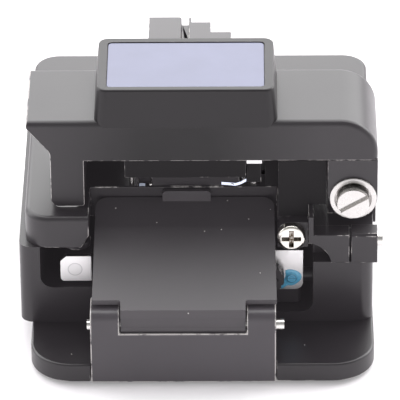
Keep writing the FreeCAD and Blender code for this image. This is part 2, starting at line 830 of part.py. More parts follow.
# ---------------------------------------------------------------- lid
def lid_outline():
    """The lid's front outline: lip, slanted throat, leg, flat underside and round shoulder."""
    foot = deck_top + leg_rest_gap
    top_left = V(lid_left + 0.2, 0, lid_top)
    lip = V(lid_left, 0, lid_top - 0.9)
    slant_top = V(lid_left + 0.2, 0, lid_top - 1.5)
    slant_end = V(leg_left - 0.6, 0, lid_top - 6.2)
    leg_top = V(leg_left, 0, lid_top - 7.8)
    foot_left = V(leg_left, 0, foot + 1.6)
    foot_mid = V(leg_left + 0.47, 0, foot + 0.47)
    foot_start = V(leg_left + 1.6, 0, foot)
    foot_end = V(leg_right - 0.4, 0, foot)
    leg_inner = V(leg_right, 0, foot + 0.4)
    throat = V(leg_right, 0, lid_under)
    corner = V(lid_right, 0, lid_under)
    side_top = V(lid_right, 0, lid_top - lid_corner)
    slope = lid_corner * (1 - math.cos(math.radians(45)))
    shoulder = V(lid_right - slope, 0, lid_top - slope)
    shoulder_end = V(lid_right - lid_corner, 0, lid_top)
    bend = V(leg_left - 0.15, 0, lid_top - 7.0)
    edges = [Part.LineSegment(top_left, lip), Part.LineSegment(lip, slant_top),
             Part.LineSegment(slant_top, slant_end), Part.Arc(slant_end, bend, leg_top),
             Part.LineSegment(leg_top, foot_left), Part.Arc(foot_left, foot_mid, foot_start),
             Part.LineSegment(foot_start, foot_end), Part.LineSegment(foot_end, leg_inner),
             Part.LineSegment(leg_inner, throat), Part.LineSegment(throat, corner),
             Part.LineSegment(corner, side_top), Part.Arc(side_top, shoulder, shoulder_end),
             Part.LineSegment(shoulder_end, top_left)]
    return Part.Wire([e.toShape() for e in edges])


def lid_blank():
    """The lid before drilling: the outline pushed along Y, with rounded top edges."""
    wire = lid_outline()
    wire.translate(V(0, lid_front, 0))
    shape = Part.Face(wire).extrude(V(0, lid_back - lid_front, 0))

    def on_rim(p):
        at_face = abs(p.y - lid_front) < 1e-4 or abs(p.y - lid_back) < 1e-4
        over_top = p.z > lid_top - 1e-4
        round_side = p.x > lid_right - lid_corner - 1e-4 and p.z > lid_top - lid_corner - 1e-4
        return at_face and (over_top or round_side)

    shape = shape.makeFillet(lid_edge, edges_at(shape, on_rim))
    foot = deck_top + leg_rest_gap
    for x0, x1 in ((leg_right - 1, holder_left + 1), (holder_right - 1, guard_right)):
        shape = shape.fuse(box(x0, x1, lid_back - skirt_thick, lid_back, foot, lid_under + 1))
    return shape.removeSplitter()


def lid_arm(blank):
    """The lid with its two counterbored screw holes."""
    shape = blank
    for x, y in holder_screw_places():
        shape = shape.cut(rod_z_axis(x, y, lid_under - 1, screw_seat_z, holder_screw_radius))
        shape = shape.cut(rod_z_axis(x, y, screw_seat_z, lid_top + 1, holder_head_radius + 0.1))
    return shape


def holder_screw_places():
    """Where two screws hold the clamp holder to the lid, below the press block."""
    return ((holder_left + holder_screw_inset, holder_screw_y),
            (holder_right - holder_screw_inset, holder_screw_y))


def holder_screws():
    """Two socket screws down through the lid into the clamp holder."""
    screws = []
    for x, y in holder_screw_places():
        head_top = screw_seat_z + holder_head_height
        head = rod_z_axis(x, y, screw_seat_z, head_top, holder_head_radius)
        head = head.cut(rod_z_axis(x, y, head_top - holder_key_depth, lid_top, holder_head_radius / 2))
        shank = rod_z_axis(x, y, lid_under - holder_screw_bite, screw_seat_z, holder_screw_radius)
        screws.append(fuse_all(head, shank))
    return Part.makeCompound(screws)


def press_block(blank):
    """The thumb block on the lid: drafted sides, soft corners and a label recess."""
    low_z = lid_top - lid_edge
    grow = cap_draft
    bottom = cap_section(low_z, grow)
    top = cap_section(cap_top, 0)
    block = Part.makeLoft([bottom, top], True)
    block = round_top(block, 0.45, cap_top)
    recess = label_room(cap_top - label_recess, cap_top + 1, 0)
    return block.cut(recess).cut(blank)


def cap_section(z, grow):
    """The block's outline at one height, as a wire with rounded corners."""
    plate = rounded_plate(cap_left - grow, cap_right + grow, cap_front, cap_back, z, z + 1, cap_corner)
    bottom = [f for f in plate.Faces if abs(f.CenterOfMass.z - z) < 1e-6]
    return bottom[0].OuterWire


def label_room(z0, z1, shrink):
    """The rounded rectangle that the label fills, less a small gap all round."""
    return rounded_plate(cap_left + label_margin_side + shrink, cap_right - label_margin_side - shrink,
                         cap_front + label_margin_front + shrink, cap_back - label_margin_back - shrink,
                         z0, z1, 0.9)


def label_plate():
    """The plain glossy plate in the recess."""
    floor = cap_top - label_recess
    return round_top(label_room(floor, floor + label_thick, 0.12), 0.12, floor + label_thick)


def clamp_holder():
    """The block under the lid that carries the upper pads and the anvil."""
    back = lid_back - skirt_thick - 0.1
    block = box(holder_left, holder_right, lid_front + 0.5, back, holder_bottom, lid_under)
    block = block.cut(upper_pad(stage_front, front_stage_back))
    block = block.cut(upper_pad(rear_stage_front, stage_back))
    block = block.cut(box(anvil_left - running_gap, anvil_right + running_gap,
                          anvil_front - running_gap, anvil_back + running_gap,
                          holder_bottom - 1, anvil_roof))
    bite = lid_under - holder_screw_bite
    for x, y in holder_screw_places():
        block = block.cut(rod_z_axis(x, y, bite, lid_under + 1, holder_screw_radius))
    return block


def upper_pad(y0, y1):
    """An upper clamp pad, let into the holder."""
    return pad_room(y0, y1, fibre_z + pad_gap, fibre_z + pad_gap + pad_depth)


def anvil():
    """The small hard block that bows the fibre over the cut; it gives a little upwards."""
    block = box(anvil_left, anvil_right, anvil_front, anvil_back, anvil_bottom, anvil_top)
    low = edges_at(block, lambda p: p.z < anvil_bottom + 1e-6 and abs(p.x - fibre_x) > 1.9)
    return block.makeFillet(0.3, low)


def anvil_spring():
    """The coil spring above the anvil, as one closed ring stack."""
    turns = 3
    wire = 0.14
    pitch = (anvil_roof - anvil_top - 2 * wire) / (turns - 1)
    first = anvil_top + wire
    rings = []
    for turn in range(turns):
        rings.append(Part.makeTorus(0.45, wire, V(fibre_x, blade_y, first + pitch * turn)))
    return Part.makeCompound(rings)


def lid_magnet_post():
    """The post under the lid that ends in the holding magnet."""
    return box(magnet_x - 1.45, magnet_x + 1.45, post_front, magnet_y + 1.6,
               magnet_post_bottom + magnet_thick, lid_under - 0.9)


def lid_magnet():
    """The magnet in the post's end."""
    return rod_z_axis(magnet_x, magnet_y, magnet_post_bottom, magnet_post_bottom + magnet_thick, 1.4)


def striker_plate():
    """The bright steel strip between the lid and the magnet post."""
    return box(magnet_x - 1.5, magnet_x + 1.6, lid_front + 0.3, magnet_y + 1.6,
               lid_under - 0.9, lid_under)


def hinge_block():
    """The lid's hinge piece: a bridge over the tower with a round knuckle at each end."""
    roof = box(hinge_x - knuckle_radius - 0.2, lid_right, lid_front, lid_back,
               hinge_z + knuckle_radius + side_gap, lid_under)
    shape = roof
    for y0, y1 in ((lid_front, knuckle_front_back), (tower_back + side_gap, lid_back)):
        cheek = box(hinge_x - knuckle_radius - 0.2, lid_right, y0, y1, hinge_z, lid_under)
        knuckle = rod_y(hinge_x, y0, y1, hinge_z, knuckle_radius)
        shape = shape.fuse(cheek).fuse(knuckle)
    shape = shape.removeSplitter()
    shape = shape.cut(rod_y(hinge_x, lid_front - 1, knuckle_front_back + 1, hinge_z, sleeve_radius))
    return shape.cut(rod_y(hinge_x, tower_back, lid_back + 1, hinge_z, hinge_pin_radius + running_gap))


def hinge_bush():
    """The steel bush with its flange ring on the hinge block's front."""
    front = lid_front - ring_thick
    step = lid_front + 1.8
    ring = rod_y(hinge_x, front, lid_front, hinge_z, ring_radius)
    rim = edges_at(ring, lambda p: p.y < front + 1e-6)
    ring = ring.makeFillet(0.2, rim)
    sleeve = rod_y(hinge_x, lid_front, knuckle_front_back, hinge_z, sleeve_radius)
    bush = fuse_all(ring, sleeve)
    bush = bush.cut(rod_y(hinge_x, front - 1, step, hinge_z, ring_bore))
    bore = hinge_pin_radius + running_gap
    return bush.cut(rod_y(hinge_x, step - 1, knuckle_front_back + 1, hinge_z, bore))


def lid_hinge_pin():
    """The lid's pin: a slotted head that stands out in front, and a long shank."""
    front = lid_front - hinge_head_out
    step = lid_front + 1.5
    head = rod_y(hinge_x, front, step, hinge_z, hinge_head_radius)
    shank = rod_y(hinge_x, step, lid_back + 0.9, hinge_z, hinge_pin_radius)
    reach = hinge_head_radius + 1
    slot = box(-reach, reach, front - 1, front + pin_slot_depth, -pin_slot_half, pin_slot_half)
    slot.rotate(V(0, 0, 0), V(0, 1, 0), -pin_slot_angle)
    slot.translate(V(hinge_x, 0, hinge_z))
    return fuse_all(head, shank).cut(slot)


def hinge_clip():
    """The snap ring on the pin's back end."""
    ring = rod_y(hinge_x, lid_back + 0.2, lid_back + 0.8, hinge_z, hinge_pin_radius + 1.1)
    ring = ring.cut(rod_y(hinge_x, lid_back, lid_back + 1, hinge_z, hinge_pin_radius))
    gap = box(hinge_x - 0.8, hinge_x + 0.8, lid_back, lid_back + 1, hinge_z - 5, hinge_z)
    return ring.cut(gap)


# ---------------------------------------------------------------- offcut collector
def collector_body():
    """The stepped block on the deck that leads the offcut away in its groove."""
    left = box(collector_left, fibre_x - groove_width / 2, collector_front, collector_back,
               deck_top, collector_top)
    edge = edges_at(left, lambda p: p.z > collector_top - 1e-6 and p.x > fibre_x - groove_width / 2 - 1e-6)
    left = left.makeFillet(0.5, edge)
    floor = box(fibre_x - groove_width / 2, fibre_x + groove_width / 2 + 0.2, collector_front,
                collector_back - 1.0, deck_top, collector_top - groove_depth)
    ridge = box(fibre_x + groove_width / 2 + 0.2, fibre_x + groove_width / 2 + 0.75, collector_front,
                collector_back - 0.3, deck_top, collector_top)
    right = box(fibre_x + groove_width / 2 + 0.7, collector_mid, collector_front, collector_back - 2.2,
                deck_top, collector_top)
    side = box(collector_mid, collector_right, collector_front + 2, collector_back - 6.4,
               deck_top, collector_top)
    shape = fuse_all(left, floor, ridge, right, side)
    chute = box(fibre_x - chute_half, fibre_x + 1.8, chute_front, chute_back,
                deck_top - 1, collector_top - 3.0)
    drop = box(fibre_x - groove_width / 2, fibre_x + groove_width / 2, chute_front, chute_back,
               collector_top - 3.5, collector_top)
    return shape.cut(chute).cut(drop)


def roller_cheeks():
    """Two side plates with the bores for both roller axles."""
    cheeks = []
    inner = roller_half_length + side_gap
    for x0 in (fibre_x - inner - cheek_thick, fibre_x + inner):
        cheek = box(x0, x0 + cheek_thick, roller_y - cheek_half, roller_y + cheek_half, deck_top, cheek_top)
        top = edges_at(cheek, lambda p: p.z > cheek_top - 1e-6
                       and abs(abs(p.y - roller_y) - cheek_half) < 1e-6)
        cheek = cheek.makeFillet(cheek_corner, top)
        for z in roller_heights():
            cheek = cheek.cut(rod_x(x0 - 1, x0 + 3, roller_y, z, roller_axle_radius + running_gap))
        cheeks.append(cheek)
    return Part.makeCompound(cheeks)


def roller_heights():
    """Axle heights of the lower and the upper roller, one each side of the fibre."""
    return (fibre_z - 0.08 - roller_radius, fibre_z + 0.08 + roller_radius)


def feed_roller():
    """The rubber tyre on the lower axle."""
    z = roller_heights()[0]
    tyre = rod_x(fibre_x - roller_half_length, fibre_x + roller_half_length, roller_y, z, roller_radius)
    return tyre.cut(rod_x(fibre_x - 9, fibre_x + 9, roller_y, z, roller_axle_radius))


def feed_axle():
    """The lower axle with its winding knob on the right."""
    z = roller_heights()[0]
    left = fibre_x - roller_half_length - side_gap - cheek_thick - 0.4
    knob_left = fibre_x + roller_half_length + 2 * side_gap + cheek_thick
    axle = rod_x(left, knob_left + 0.5, roller_y, z, roller_axle_radius)
    knob = rod_x(knob_left, knob_left + knob_length, roller_y, z, knob_radius)
    rim = edges_at(knob, lambda p: p.x > knob_left + knob_length - 1e-6)
    knob = knob.makeFillet(0.5, rim)
    count = 16
    for step in range(count):
        angle = 2 * math.pi * step / count
        y = roller_y + (knob_radius + 0.2) * math.cos(angle)
        groove = rod_x(knob_left + 0.8, knob_left + knob_length + 1, y,
                       z + (knob_radius + 0.2) * math.sin(angle), 0.4)
        knob = knob.cut(groove)
    return fuse_all(axle, knob)


def pinch_roller():
    """The upper roller and its axle in one turned piece."""
    z = roller_heights()[1]
    reach = roller_half_length + side_gap + cheek_thick + 0.4
    axle = rod_x(fibre_x - reach, fibre_x + reach, roller_y, z, roller_axle_radius)
    drum = rod_x(fibre_x - roller_half_length, fibre_x + roller_half_length, roller_y, z, roller_radius)
    return fuse_all(axle, drum)


def scrap_drawer():
    """The open box at the back that catches the offcuts, with a finger lip."""
    left = fibre_x - drawer_half_width
    right = fibre_x + drawer_half_width
    outer = box(left, right, drawer_front, housing_back, drawer_bottom, drawer_top)
    inner = box(left + drawer_wall, right - drawer_wall, drawer_front + drawer_wall,
                housing_back - drawer_wall, drawer_bottom + drawer_wall, drawer_top + 1)
    lip = box(fibre_x - 5, fibre_x + 5, housing_back, housing_back + 2.0, drawer_bottom + 3,
              drawer_bottom + 5.0)
    rim = edges_at(lip, lambda p: p.y > housing_back + 2.0 - 1e-6 and abs(abs(p.x - fibre_x) - 5) < 1e-6)
    lip = lip.makeFillet(1.5, rim)
    return fuse_all(outer.cut(inner), lip)


# ---------------------------------------------------------------- export
def build():
    """Every node of the cleaver, by name."""
    blank = lid_blank()
    nodes = {
        "base_plate": base_plate(),
        "rubber_feet": rubber_feet(),
        "base_screws": base_screws(),
        "front_bracket": front_bracket(),
        "flap_hinge_pin": flap_hinge_pin(),
        "main_housing": main_housing(),
        "deck": deck(),
        "rail_plate": rail_plate(),
        "guide_rods": guide_rods(),
        "hinge_base": hinge_base(),
        "side_block": side_block(),
        "side_pin": side_pin(),
        "screw_pad": screw_pad(),
        "pad_screw": pad_screw(),
        "front_stage": front_stage(),
        "rear_stage": rear_stage(),
        "front_lower_pad": lower_pad(stage_front, front_stage_back),
        "rear_lower_pad": lower_pad(rear_stage_front, stage_back),
        "stage_pins": stage_pins(),
        "magnet_keeper": keeper(),
        "blade_guard": blade_guard(),
        "lid_hinge_pin": lid_hinge_pin(),
        "hinge_clip": hinge_clip(),
        "collector_body": collector_body(),
        "roller_cheeks": roller_cheeks(),
        "flap": flap(),
        "carriage_block": carriage_block(),
        "carriage_plate": carriage_plate(),
        "height_screw": height_screw(),
        "blade_holder": blade_holder(),
        "blade_axle": blade_axle(),
        "blade_disc": blade_disc(),
        "height_dial": height_dial(),
        "lid_arm": lid_arm(blank),
        "press_block": press_block(blank),
        "label_plate": label_plate(),
        "clamp_holder": clamp_holder(),
        "holder_screws": holder_screws(),
        "front_upper_pad": upper_pad(stage_front, front_stage_back),
        "rear_upper_pad": upper_pad(rear_stage_front, stage_back),
        "lid_magnet_post": lid_magnet_post(),
        "lid_magnet": lid_magnet(),
        "striker_plate": striker_plate(),
        "hinge_block": hinge_block(),
        "hinge_bush": hinge_bush(),
        "anvil": anvil(),
        "anvil_spring": anvil_spring(),
        "feed_roller": feed_roller(),
        "feed_axle": feed_axle(),
        "pinch_roller": pinch_roller(),
        "scrap_drawer": scrap_drawer(),
    }
    return nodes


def main():
    """Write one STEP file per node."""
    os.makedirs("parts", exist_ok=True)
    for name, shape in build().items():
        shape.translate(origin_shift)
        shape.exportStep(os.path.join("parts", name + ".step"))


main()
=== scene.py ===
"""Fibre cleaver: finishes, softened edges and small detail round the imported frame.

Every place is in metres in the frame's own axes: +Z up, +Y along the fibre towards the
offcut drawer, +X towards the lid hinge.
"""
import json
import logging
import math
from dataclasses import dataclass
from enum import Enum
from typing import Any, Dict, Sequence, Tuple, Union

import bmesh
import bpy
from mathutils import Matrix, Vector


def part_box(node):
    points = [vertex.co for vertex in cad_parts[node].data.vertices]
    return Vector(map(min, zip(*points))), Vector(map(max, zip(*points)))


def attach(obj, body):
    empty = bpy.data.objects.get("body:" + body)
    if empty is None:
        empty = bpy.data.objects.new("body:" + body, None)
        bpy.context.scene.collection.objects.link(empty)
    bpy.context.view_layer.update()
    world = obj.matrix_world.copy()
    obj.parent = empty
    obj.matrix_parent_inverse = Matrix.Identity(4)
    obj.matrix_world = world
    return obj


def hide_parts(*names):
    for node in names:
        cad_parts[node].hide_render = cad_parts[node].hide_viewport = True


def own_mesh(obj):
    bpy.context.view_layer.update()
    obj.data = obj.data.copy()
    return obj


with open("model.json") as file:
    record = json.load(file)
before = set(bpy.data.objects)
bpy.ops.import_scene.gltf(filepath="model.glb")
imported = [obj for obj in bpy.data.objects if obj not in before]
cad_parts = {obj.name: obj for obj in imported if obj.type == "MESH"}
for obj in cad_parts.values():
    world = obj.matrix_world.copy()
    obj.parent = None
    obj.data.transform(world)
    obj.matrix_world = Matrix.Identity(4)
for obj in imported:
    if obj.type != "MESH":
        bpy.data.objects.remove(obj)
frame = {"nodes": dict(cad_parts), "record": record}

LOG = logging.getLogger("cleaver")
MM = 0.001
EVEN = (1.0, 1.0, 1.0)
Colour = Tuple[float, float, float]
Output = Union[int, str]


class Grain(Enum):
    """How fine marks lie: stretch along each axis, features, octaves and fine strength."""

    CAST = (EVEN, 5200.0, 3.0, 0.6)
    BRUSHED = ((60.0, 4000.0, 4000.0), 1.0, 3.0, 0.7)
    TURNED = ((2500.0, 2500.0, 2500.0), 1.0, 3.0, 0.7)
    SMOOTH = (EVEN, 400.0, 1.0, 0.4)


# ---------------------------------------- node trees
@dataclass(frozen=True)
class Signal:
    """One output of a node, on which Python arithmetic adds Math nodes.

    Attributes:
        graph: The builder that owns the tree.
        node: The node that gives the value.
        output: The output's name or number.
    """

    graph: "Graph"
    node: bpy.types.Node
    output: Output = 0

    @property
    def socket(self) -> bpy.types.NodeSocket:
        """The output socket."""
        return self.node.outputs[self.output]

    def other(self, output: Output) -> "Signal":
        """Another output of the same node."""
        return Signal(self.graph, self.node, output)

    def _math(self, operation: str, *values: Any) -> "Signal":
        """Add one Math node, with signals or numbers at its inputs."""
        return self.graph.node("ShaderNodeMath", {"operation": operation}, dict(enumerate(values)))

    def __add__(self, other: Any) -> "Signal":
        """Sum."""
        return self._math("ADD", self, other)

    def __radd__(self, other: Any) -> "Signal":
        """Sum, reflected."""
        return self._math("ADD", other, self)

    def __sub__(self, other: Any) -> "Signal":
        """Difference."""
        return self._math("SUBTRACT", self, other)

    def __rsub__(self, other: Any) -> "Signal":
        """Difference, reflected."""
        return self._math("SUBTRACT", other, self)

    def __mul__(self, other: Any) -> "Signal":
        """Product."""
        return self._math("MULTIPLY", self, other)

    def __rmul__(self, other: Any) -> "Signal":
        """Product, reflected."""
        return self._math("MULTIPLY", other, self)

    def __pow__(self, other: Any) -> "Signal":
        """Power."""
        return self._math("POWER", self, other)

    def __rpow__(self, other: Any) -> "Signal":
        """Power, reflected."""
        return self._math("POWER", other, self)

    def root(self) -> "Signal":
        """Square root."""
        return self._math("SQRT", self)

    def size(self) -> "Signal":
        """Absolute value."""
        return self._math("ABSOLUTE", self)

    def below(self, level: float) -> "Signal":
        """One where the value is under the level, else nought."""
        return self._math("LESS_THAN", self, level)

    def ramp(self, low: float, high: float) -> "Signal":
        """Stretch low..high to 0..1 and clamp."""
        scaled = (self - low) * (1.0 / (high - low))
        return self.graph.node("ShaderNodeClamp", {}, {"Value": scaled})

    def near(self, centre: float, width: float) -> "Signal":
        """One at the centre, falling to nought a width away."""
        return 1.0 - ((self - centre).size() * (1.0 / width)).ramp(0.0, 1.0)


class Graph:
    """Adds nodes to one node tree."""

    def __init__(self, tree: bpy.types.NodeTree) -> None:
        """Keep the tree."""
        self.tree = tree

    def feed(self, socket: bpy.types.NodeSocket, value: Any) -> None:
        """Link a signal to a socket, or set its value.

        Args:
            socket: The input socket.
            value: A signal, number, colour, vector or material.
        """
        if isinstance(value, Signal):
            self.tree.links.new(value.socket, socket)
        elif isinstance(value, tuple) and len(value) == 3 and socket.type == "RGBA":
            socket.default_value = (*value, 1.0)
        else:
            socket.default_value = value

    def node(self, kind: str, settings: Dict[str, Any], inputs: Dict[Any, Any], output: Output = 0) -> Signal:
        """Add a node.

        Args:
            kind: The node's type.
            settings: Attributes set first.
            inputs: Values or signals by socket name or index.
            output: The output to return.

        Returns:
            The chosen output as a signal.
        """
        made = self.tree.nodes.new(kind)
        for key, value in settings.items():
            setattr(made, key, value)
        for key, value in inputs.items():
            self.feed(made.inputs[key], value)
        return Signal(self, made, output)

    def direct(self) -> Signal:
        """One on rays from the camera, a mirror or glass, else nought."""
        camera = self.node("ShaderNodeLightPath", {}, {}, "Is Camera Ray")
        return (camera + camera.other("Is Glossy Ray") + camera.other("Is Transmission Ray")).ramp(0.0, 1.0)


class Paint(Graph):
    """Builds one material's node tree."""

    def __init__(self, name: str) -> None:
        """Start a material with one Principled shader.

        Args:
            name: The material's name.
        """
        self.material = bpy.data.materials.new(name)
        self.material.use_nodes = True
        super().__init__(self.material.node_tree)
        self.tree.nodes.clear()
        surface = self.node("ShaderNodeBsdfPrincipled", {}, {})
        self.shader = surface.node
        self.node("ShaderNodeOutputMaterial", {}, {"Surface": surface})

    def set(self, **values: Any) -> None:
        """Set or link sockets of the Principled shader, named with underscores for spaces."""
        for key, value in values.items():
            self.feed(self.shader.inputs[key.replace("_", " ")], value)

    def place(self) -> Signal:
        """Object coordinates, in metres."""
        return self.node("ShaderNodeTexCoord", {}, {}, "Object")

    def axes(self) -> Tuple[Signal, ...]:
        """The three object coordinates as separate signals."""
        split = self.node("ShaderNodeSeparateXYZ", {}, {0: self.place()})
        return tuple(split.other(axis) for axis in "XYZ")

    def from_line(self, middle: Tuple[float, float]) -> Signal:
        """Distance from a line along Y that stands at a place along X and Z, in metres."""
        x, _, z = self.axes()
        return ((x - middle[0]) ** 2 + (z - middle[1]) ** 2).root()

    def specks(self, spacing: float, radius: float, share: float) -> Signal:
        """Scattered round specks.

        Args:
            spacing: Mean distance between possible specks, in metres.
            radius: A speck's radius, in metres.
            share: How many of the possible specks are there.

        Returns:
            One on a speck, else nought.
        """
        cell = self.node("ShaderNodeTexVoronoi", {}, {"Vector": self.place(), "Scale": 1.0 / spacing},
                         "Distance")
        pick = self.node("ShaderNodeSeparateColor", {}, {0: cell.other("Color")})
        return cell.below(radius / spacing) * pick.below(share)

    def noise(self, scale: float, detail: float = 2.0, roughness: float = 0.5,
              stretch: Sequence[float] = EVEN) -> Signal:
        """Smooth noise from 0 to 1 in object coordinates.

        Args:
            scale: Features per metre.
            detail: Octaves.
            roughness: How strong the fine octaves are.
            stretch: Factors on the coordinates along each axis.

        Returns:
            The noise value.
        """
        vector = self.place()
        if tuple(stretch) != EVEN:
            vector = self.node("ShaderNodeMapping", {}, {"Vector": vector, "Scale": tuple(stretch)})
        inputs = {"Vector": vector, "Scale": scale, "Detail": detail, "Roughness": roughness}
        return self.node("ShaderNodeTexNoise", {}, inputs)

    def mix(self, factor: Any, low: Any, high: Any) -> Signal:
        """Mix two colours, of which the factor is the second one's share."""
        return self.node("ShaderNodeMix", {"data_type": "RGBA"}, {0: factor, 6: low, 7: high}, 2)

    def bump(self, height: Signal, strength: float, distance: float) -> Signal:
        """Turn a height into a normal, with its full height as a distance in metres."""
        inputs = {"Height": height, "Strength": strength, "Distance": distance}
        return self.node("ShaderNodeBump", {}, inputs)


# ---------------------------------------- finishes
CLOUD = (90.0, 4.0, 0.55)  # features per metre, octaves, fine strength
CLOUD_SHADE = 0.14
GRAIN_SHARE = 0.6
GRAIN_STRENGTH = 0.5
SPECK_SPACING = 0.0026
SPECK_RADIUS = 0.00012
SPECK_ROUGHNESS = 0.3
COAT_ROUGHNESS = 0.08
# Tint of the painted glow, the faint emission that lifts the black coats in shade.
GLOW_TINT = (1.0, 0.9, 1.0)


@dataclass(frozen=True)
class Finish:
    """A procedural surface finish.

    Attributes:
        name: The material's name.
        colour: Base colour, linear.
        roughness: Middle roughness.
        metallic: Share of bare metal.
        grain: How the fine marks lie.
        grain_depth: Depth of the grain in metres.
        swing: How far roughness varies.
        dust: Share of the possible pale specks that are there.
        speck: Colour of a speck.
        specular: Specular level.
        coat: Clear coat weight.
        edge_wear_and_highlight: How much of its edges is pale, partly worn coat and partly painted highlight.
        painted_glow: Faint emission that lifts the coat in deep shade, a painted glow though the coat is no
            lamp.
    """

    name: str
    colour: Colour
    roughness: float
    metallic: float = 0.0
    grain: Grain = Grain.CAST
    grain_depth: float = 0.00001
    swing: float = 0.08
    dust: float = 0.0
    speck: Colour = (0.80, 0.77, 0.74)
    specular: float = 0.5
    coat: float = 0.0
    edge_wear_and_highlight: float = 0.4
    painted_glow: float = 0.0

    def marked(self, paint: Paint, colour: Signal) -> Signal:
        """The colour with the marks that only this finish has."""
        return colour

    def dulled(self, paint: Paint, rough: Signal) -> Signal:
        """The roughness with the wear that only this finish has."""
        return rough

    def material(self) -> bpy.types.Material:
        """Build the material, or give the one already built.

        Returns:
            The finished material.
        """
        known = bpy.data.materials.get(self.name)
        if known:
            return known
        paint = Paint(self.name)
        cloud = paint.noise(*CLOUD)
        stretch, scale, detail, fine = self.grain.value
        height = paint.noise(scale, detail, fine, stretch)
        dark = tuple(part * (1.0 - CLOUD_SHADE) for part in self.colour)
        light = tuple(min(1.0, part * (1.0 + CLOUD_SHADE)) for part in self.colour)
        colour = self.marked(paint, paint.mix(cloud, dark, light))
        rough = cloud * (2 * self.swing) + (self.roughness - self.swing)
        rough = self.dulled(paint, rough + (height - 0.5) * (self.swing * GRAIN_SHARE))
        if self.dust > 0:
            dots = paint.specks(SPECK_SPACING, SPECK_RADIUS, self.dust)
            colour = paint.mix(dots, colour, self.speck)
            rough = rough + dots * SPECK_ROUGHNESS
        # The emission is a painted glow, given strength only on the black coats.
        paint.set(Base_Color=colour, Roughness=rough, Metallic=self.metallic,
                  Normal=paint.bump(height, GRAIN_STRENGTH, self.grain_depth),
                  Specular_IOR_Level=self.specular, Coat_Weight=self.coat,
                  Coat_Roughness=COAT_ROUGHNESS, Emission_Color=GLOW_TINT, Emission_Strength=self.painted_glow)
        return paint.material


@dataclass(frozen=True)
class RivetedSteel(Finish):
    """Ground steel with the fine outline of a flush rivet.

    Attributes:
        rivet: The rivet's middle along X and Z, in metres.
        rivet_radius: The rivet's radius.
        line: Half the width of its outline.
        line_share: Strength of the outline.
        face_share: Strength of the tone inside it.
        shade: Colour of both.
    """

    rivet: Tuple[float, float] = (-0.02535, 0.0167)
    rivet_radius: float = 0.0014
    line: float = 0.00016
    line_share: float = 0.55
    face_share: float = 0.12
    shade: Colour = (0.30, 0.30, 0.31)

    def marked(self, paint: Paint, colour: Signal) -> Signal:
        """Add the rivet's outline.

        Args:
            paint: The tree builder.
            colour: The plain colour.

        Returns:
            The marked colour.
        """
        reach = paint.from_line(self.rivet)
        ring = reach.near(self.rivet_radius, self.line)
        inside = reach.below(self.rivet_radius) * self.face_share
        return paint.mix(ring * self.line_share + inside, colour, self.shade)


@dataclass(frozen=True)
class RecessedSteel(Finish):
    """Bright steel with brownish painted shade deep in its drive recess.

    Attributes:
        middle: The screw's middle along X and Z, in metres.
        face: Where the head's face lies along Y.
        shallow: Depth at which the recess begins to darken.
        depth: Depth at which the recess is fully dark.
        reach: Radius that the painted shade keeps inside.
        blotch: Features per metre, octaves and fine strength of the painted shade's blotches.
        levels: Noise levels between which the painted shade deepens.
        least: Its share where it is weakest.
        recess_shade: Colour of the painted shade.
    """

    middle: Tuple[float, float] = (0.0182, 0.0241)
    face: float = -0.0256
    shallow: float = 0.00025
    depth: float = 0.0008
    reach: float = 0.0023
    blotch: Tuple[float, float, float] = (1500.0, 2.0, 0.6)
    levels: Tuple[float, float] = (0.35, 0.6)
    least: float = 0.5
    recess_shade: Colour = (0.055, 0.035, 0.02)

    def marked(self, paint: Paint, colour: Signal) -> Signal:
        """Paint shade into the recess.

        Args:
            paint: The tree builder.
            colour: The plain colour.

        Returns:
            The marked colour.
        """
        _, y, _ = paint.axes()
        inside = paint.from_line(self.middle).below(self.reach)
        # Painted shade, growing with the depth inside the recess.
        deep = (y - self.face).ramp(self.shallow, self.depth) * inside
        blotch = paint.noise(*self.blotch).ramp(*self.levels)
        return paint.mix(deep * (blotch * (1.0 - self.least) + self.least), colour, self.recess_shade)


@dataclass(frozen=True)
class BlackCoat(Finish):
    """A black coat with a faint painted glow: emission that lifts it in deep shade."""

    swing: float = 0.05
    # Strength of the painted glow that lifts the coat in deep shade.
    painted_glow: float = 0.0105


@dataclass(frozen=True)
class MiddleShadedCast(BlackCoat):
    """Cast black with painted shade across the middle of its front, for the darker reflection there, and
    rougher there too.

    Attributes:
        middle: Middle of the shaded, rougher stretch along X, in metres.
        half: Half its full-strength length.
        fade: How far it takes to fade out.
        dull: Roughness where it is dulled most.
        shade_tint: Colour of the painted shade there.
        front: The stretch lies in front of this place along Y.
        border: How far from that place it begins and is full.
    """

    middle: float = -0.0045
    half: float = 0.007
    fade: float = 0.022
    dull: float = 0.62
    shade_tint: Colour = (0.004, 0.0035, 0.004)
    front: float = -0.0215
    border: Tuple[float, float] = (-0.0006, 0.0004)

    def shade_share(self, paint: Paint) -> Signal:
        """Share of the painted shade and the extra roughness.

        Args:
            paint: The tree builder.

        Returns:
            One in the middle, falling to nought at its ends.
        """
        x, y, _ = paint.axes()
        reach = ((x - self.middle).size() - self.half) * (1.0 / self.fade)
        return (1.0 - reach.ramp(0.0, 1.0)) * (self.front - y).ramp(*self.border)

    def marked(self, paint: Paint, colour: Signal) -> Signal:
        """Paint shade over the middle stretch."""
        return paint.mix(self.shade_share(paint), colour, self.shade_tint)

    def dulled(self, paint: Paint, rough: Signal) -> Signal:
        """Roughen the same middle stretch."""
        return rough + self.shade_share(paint) * (self.dull - self.roughness)


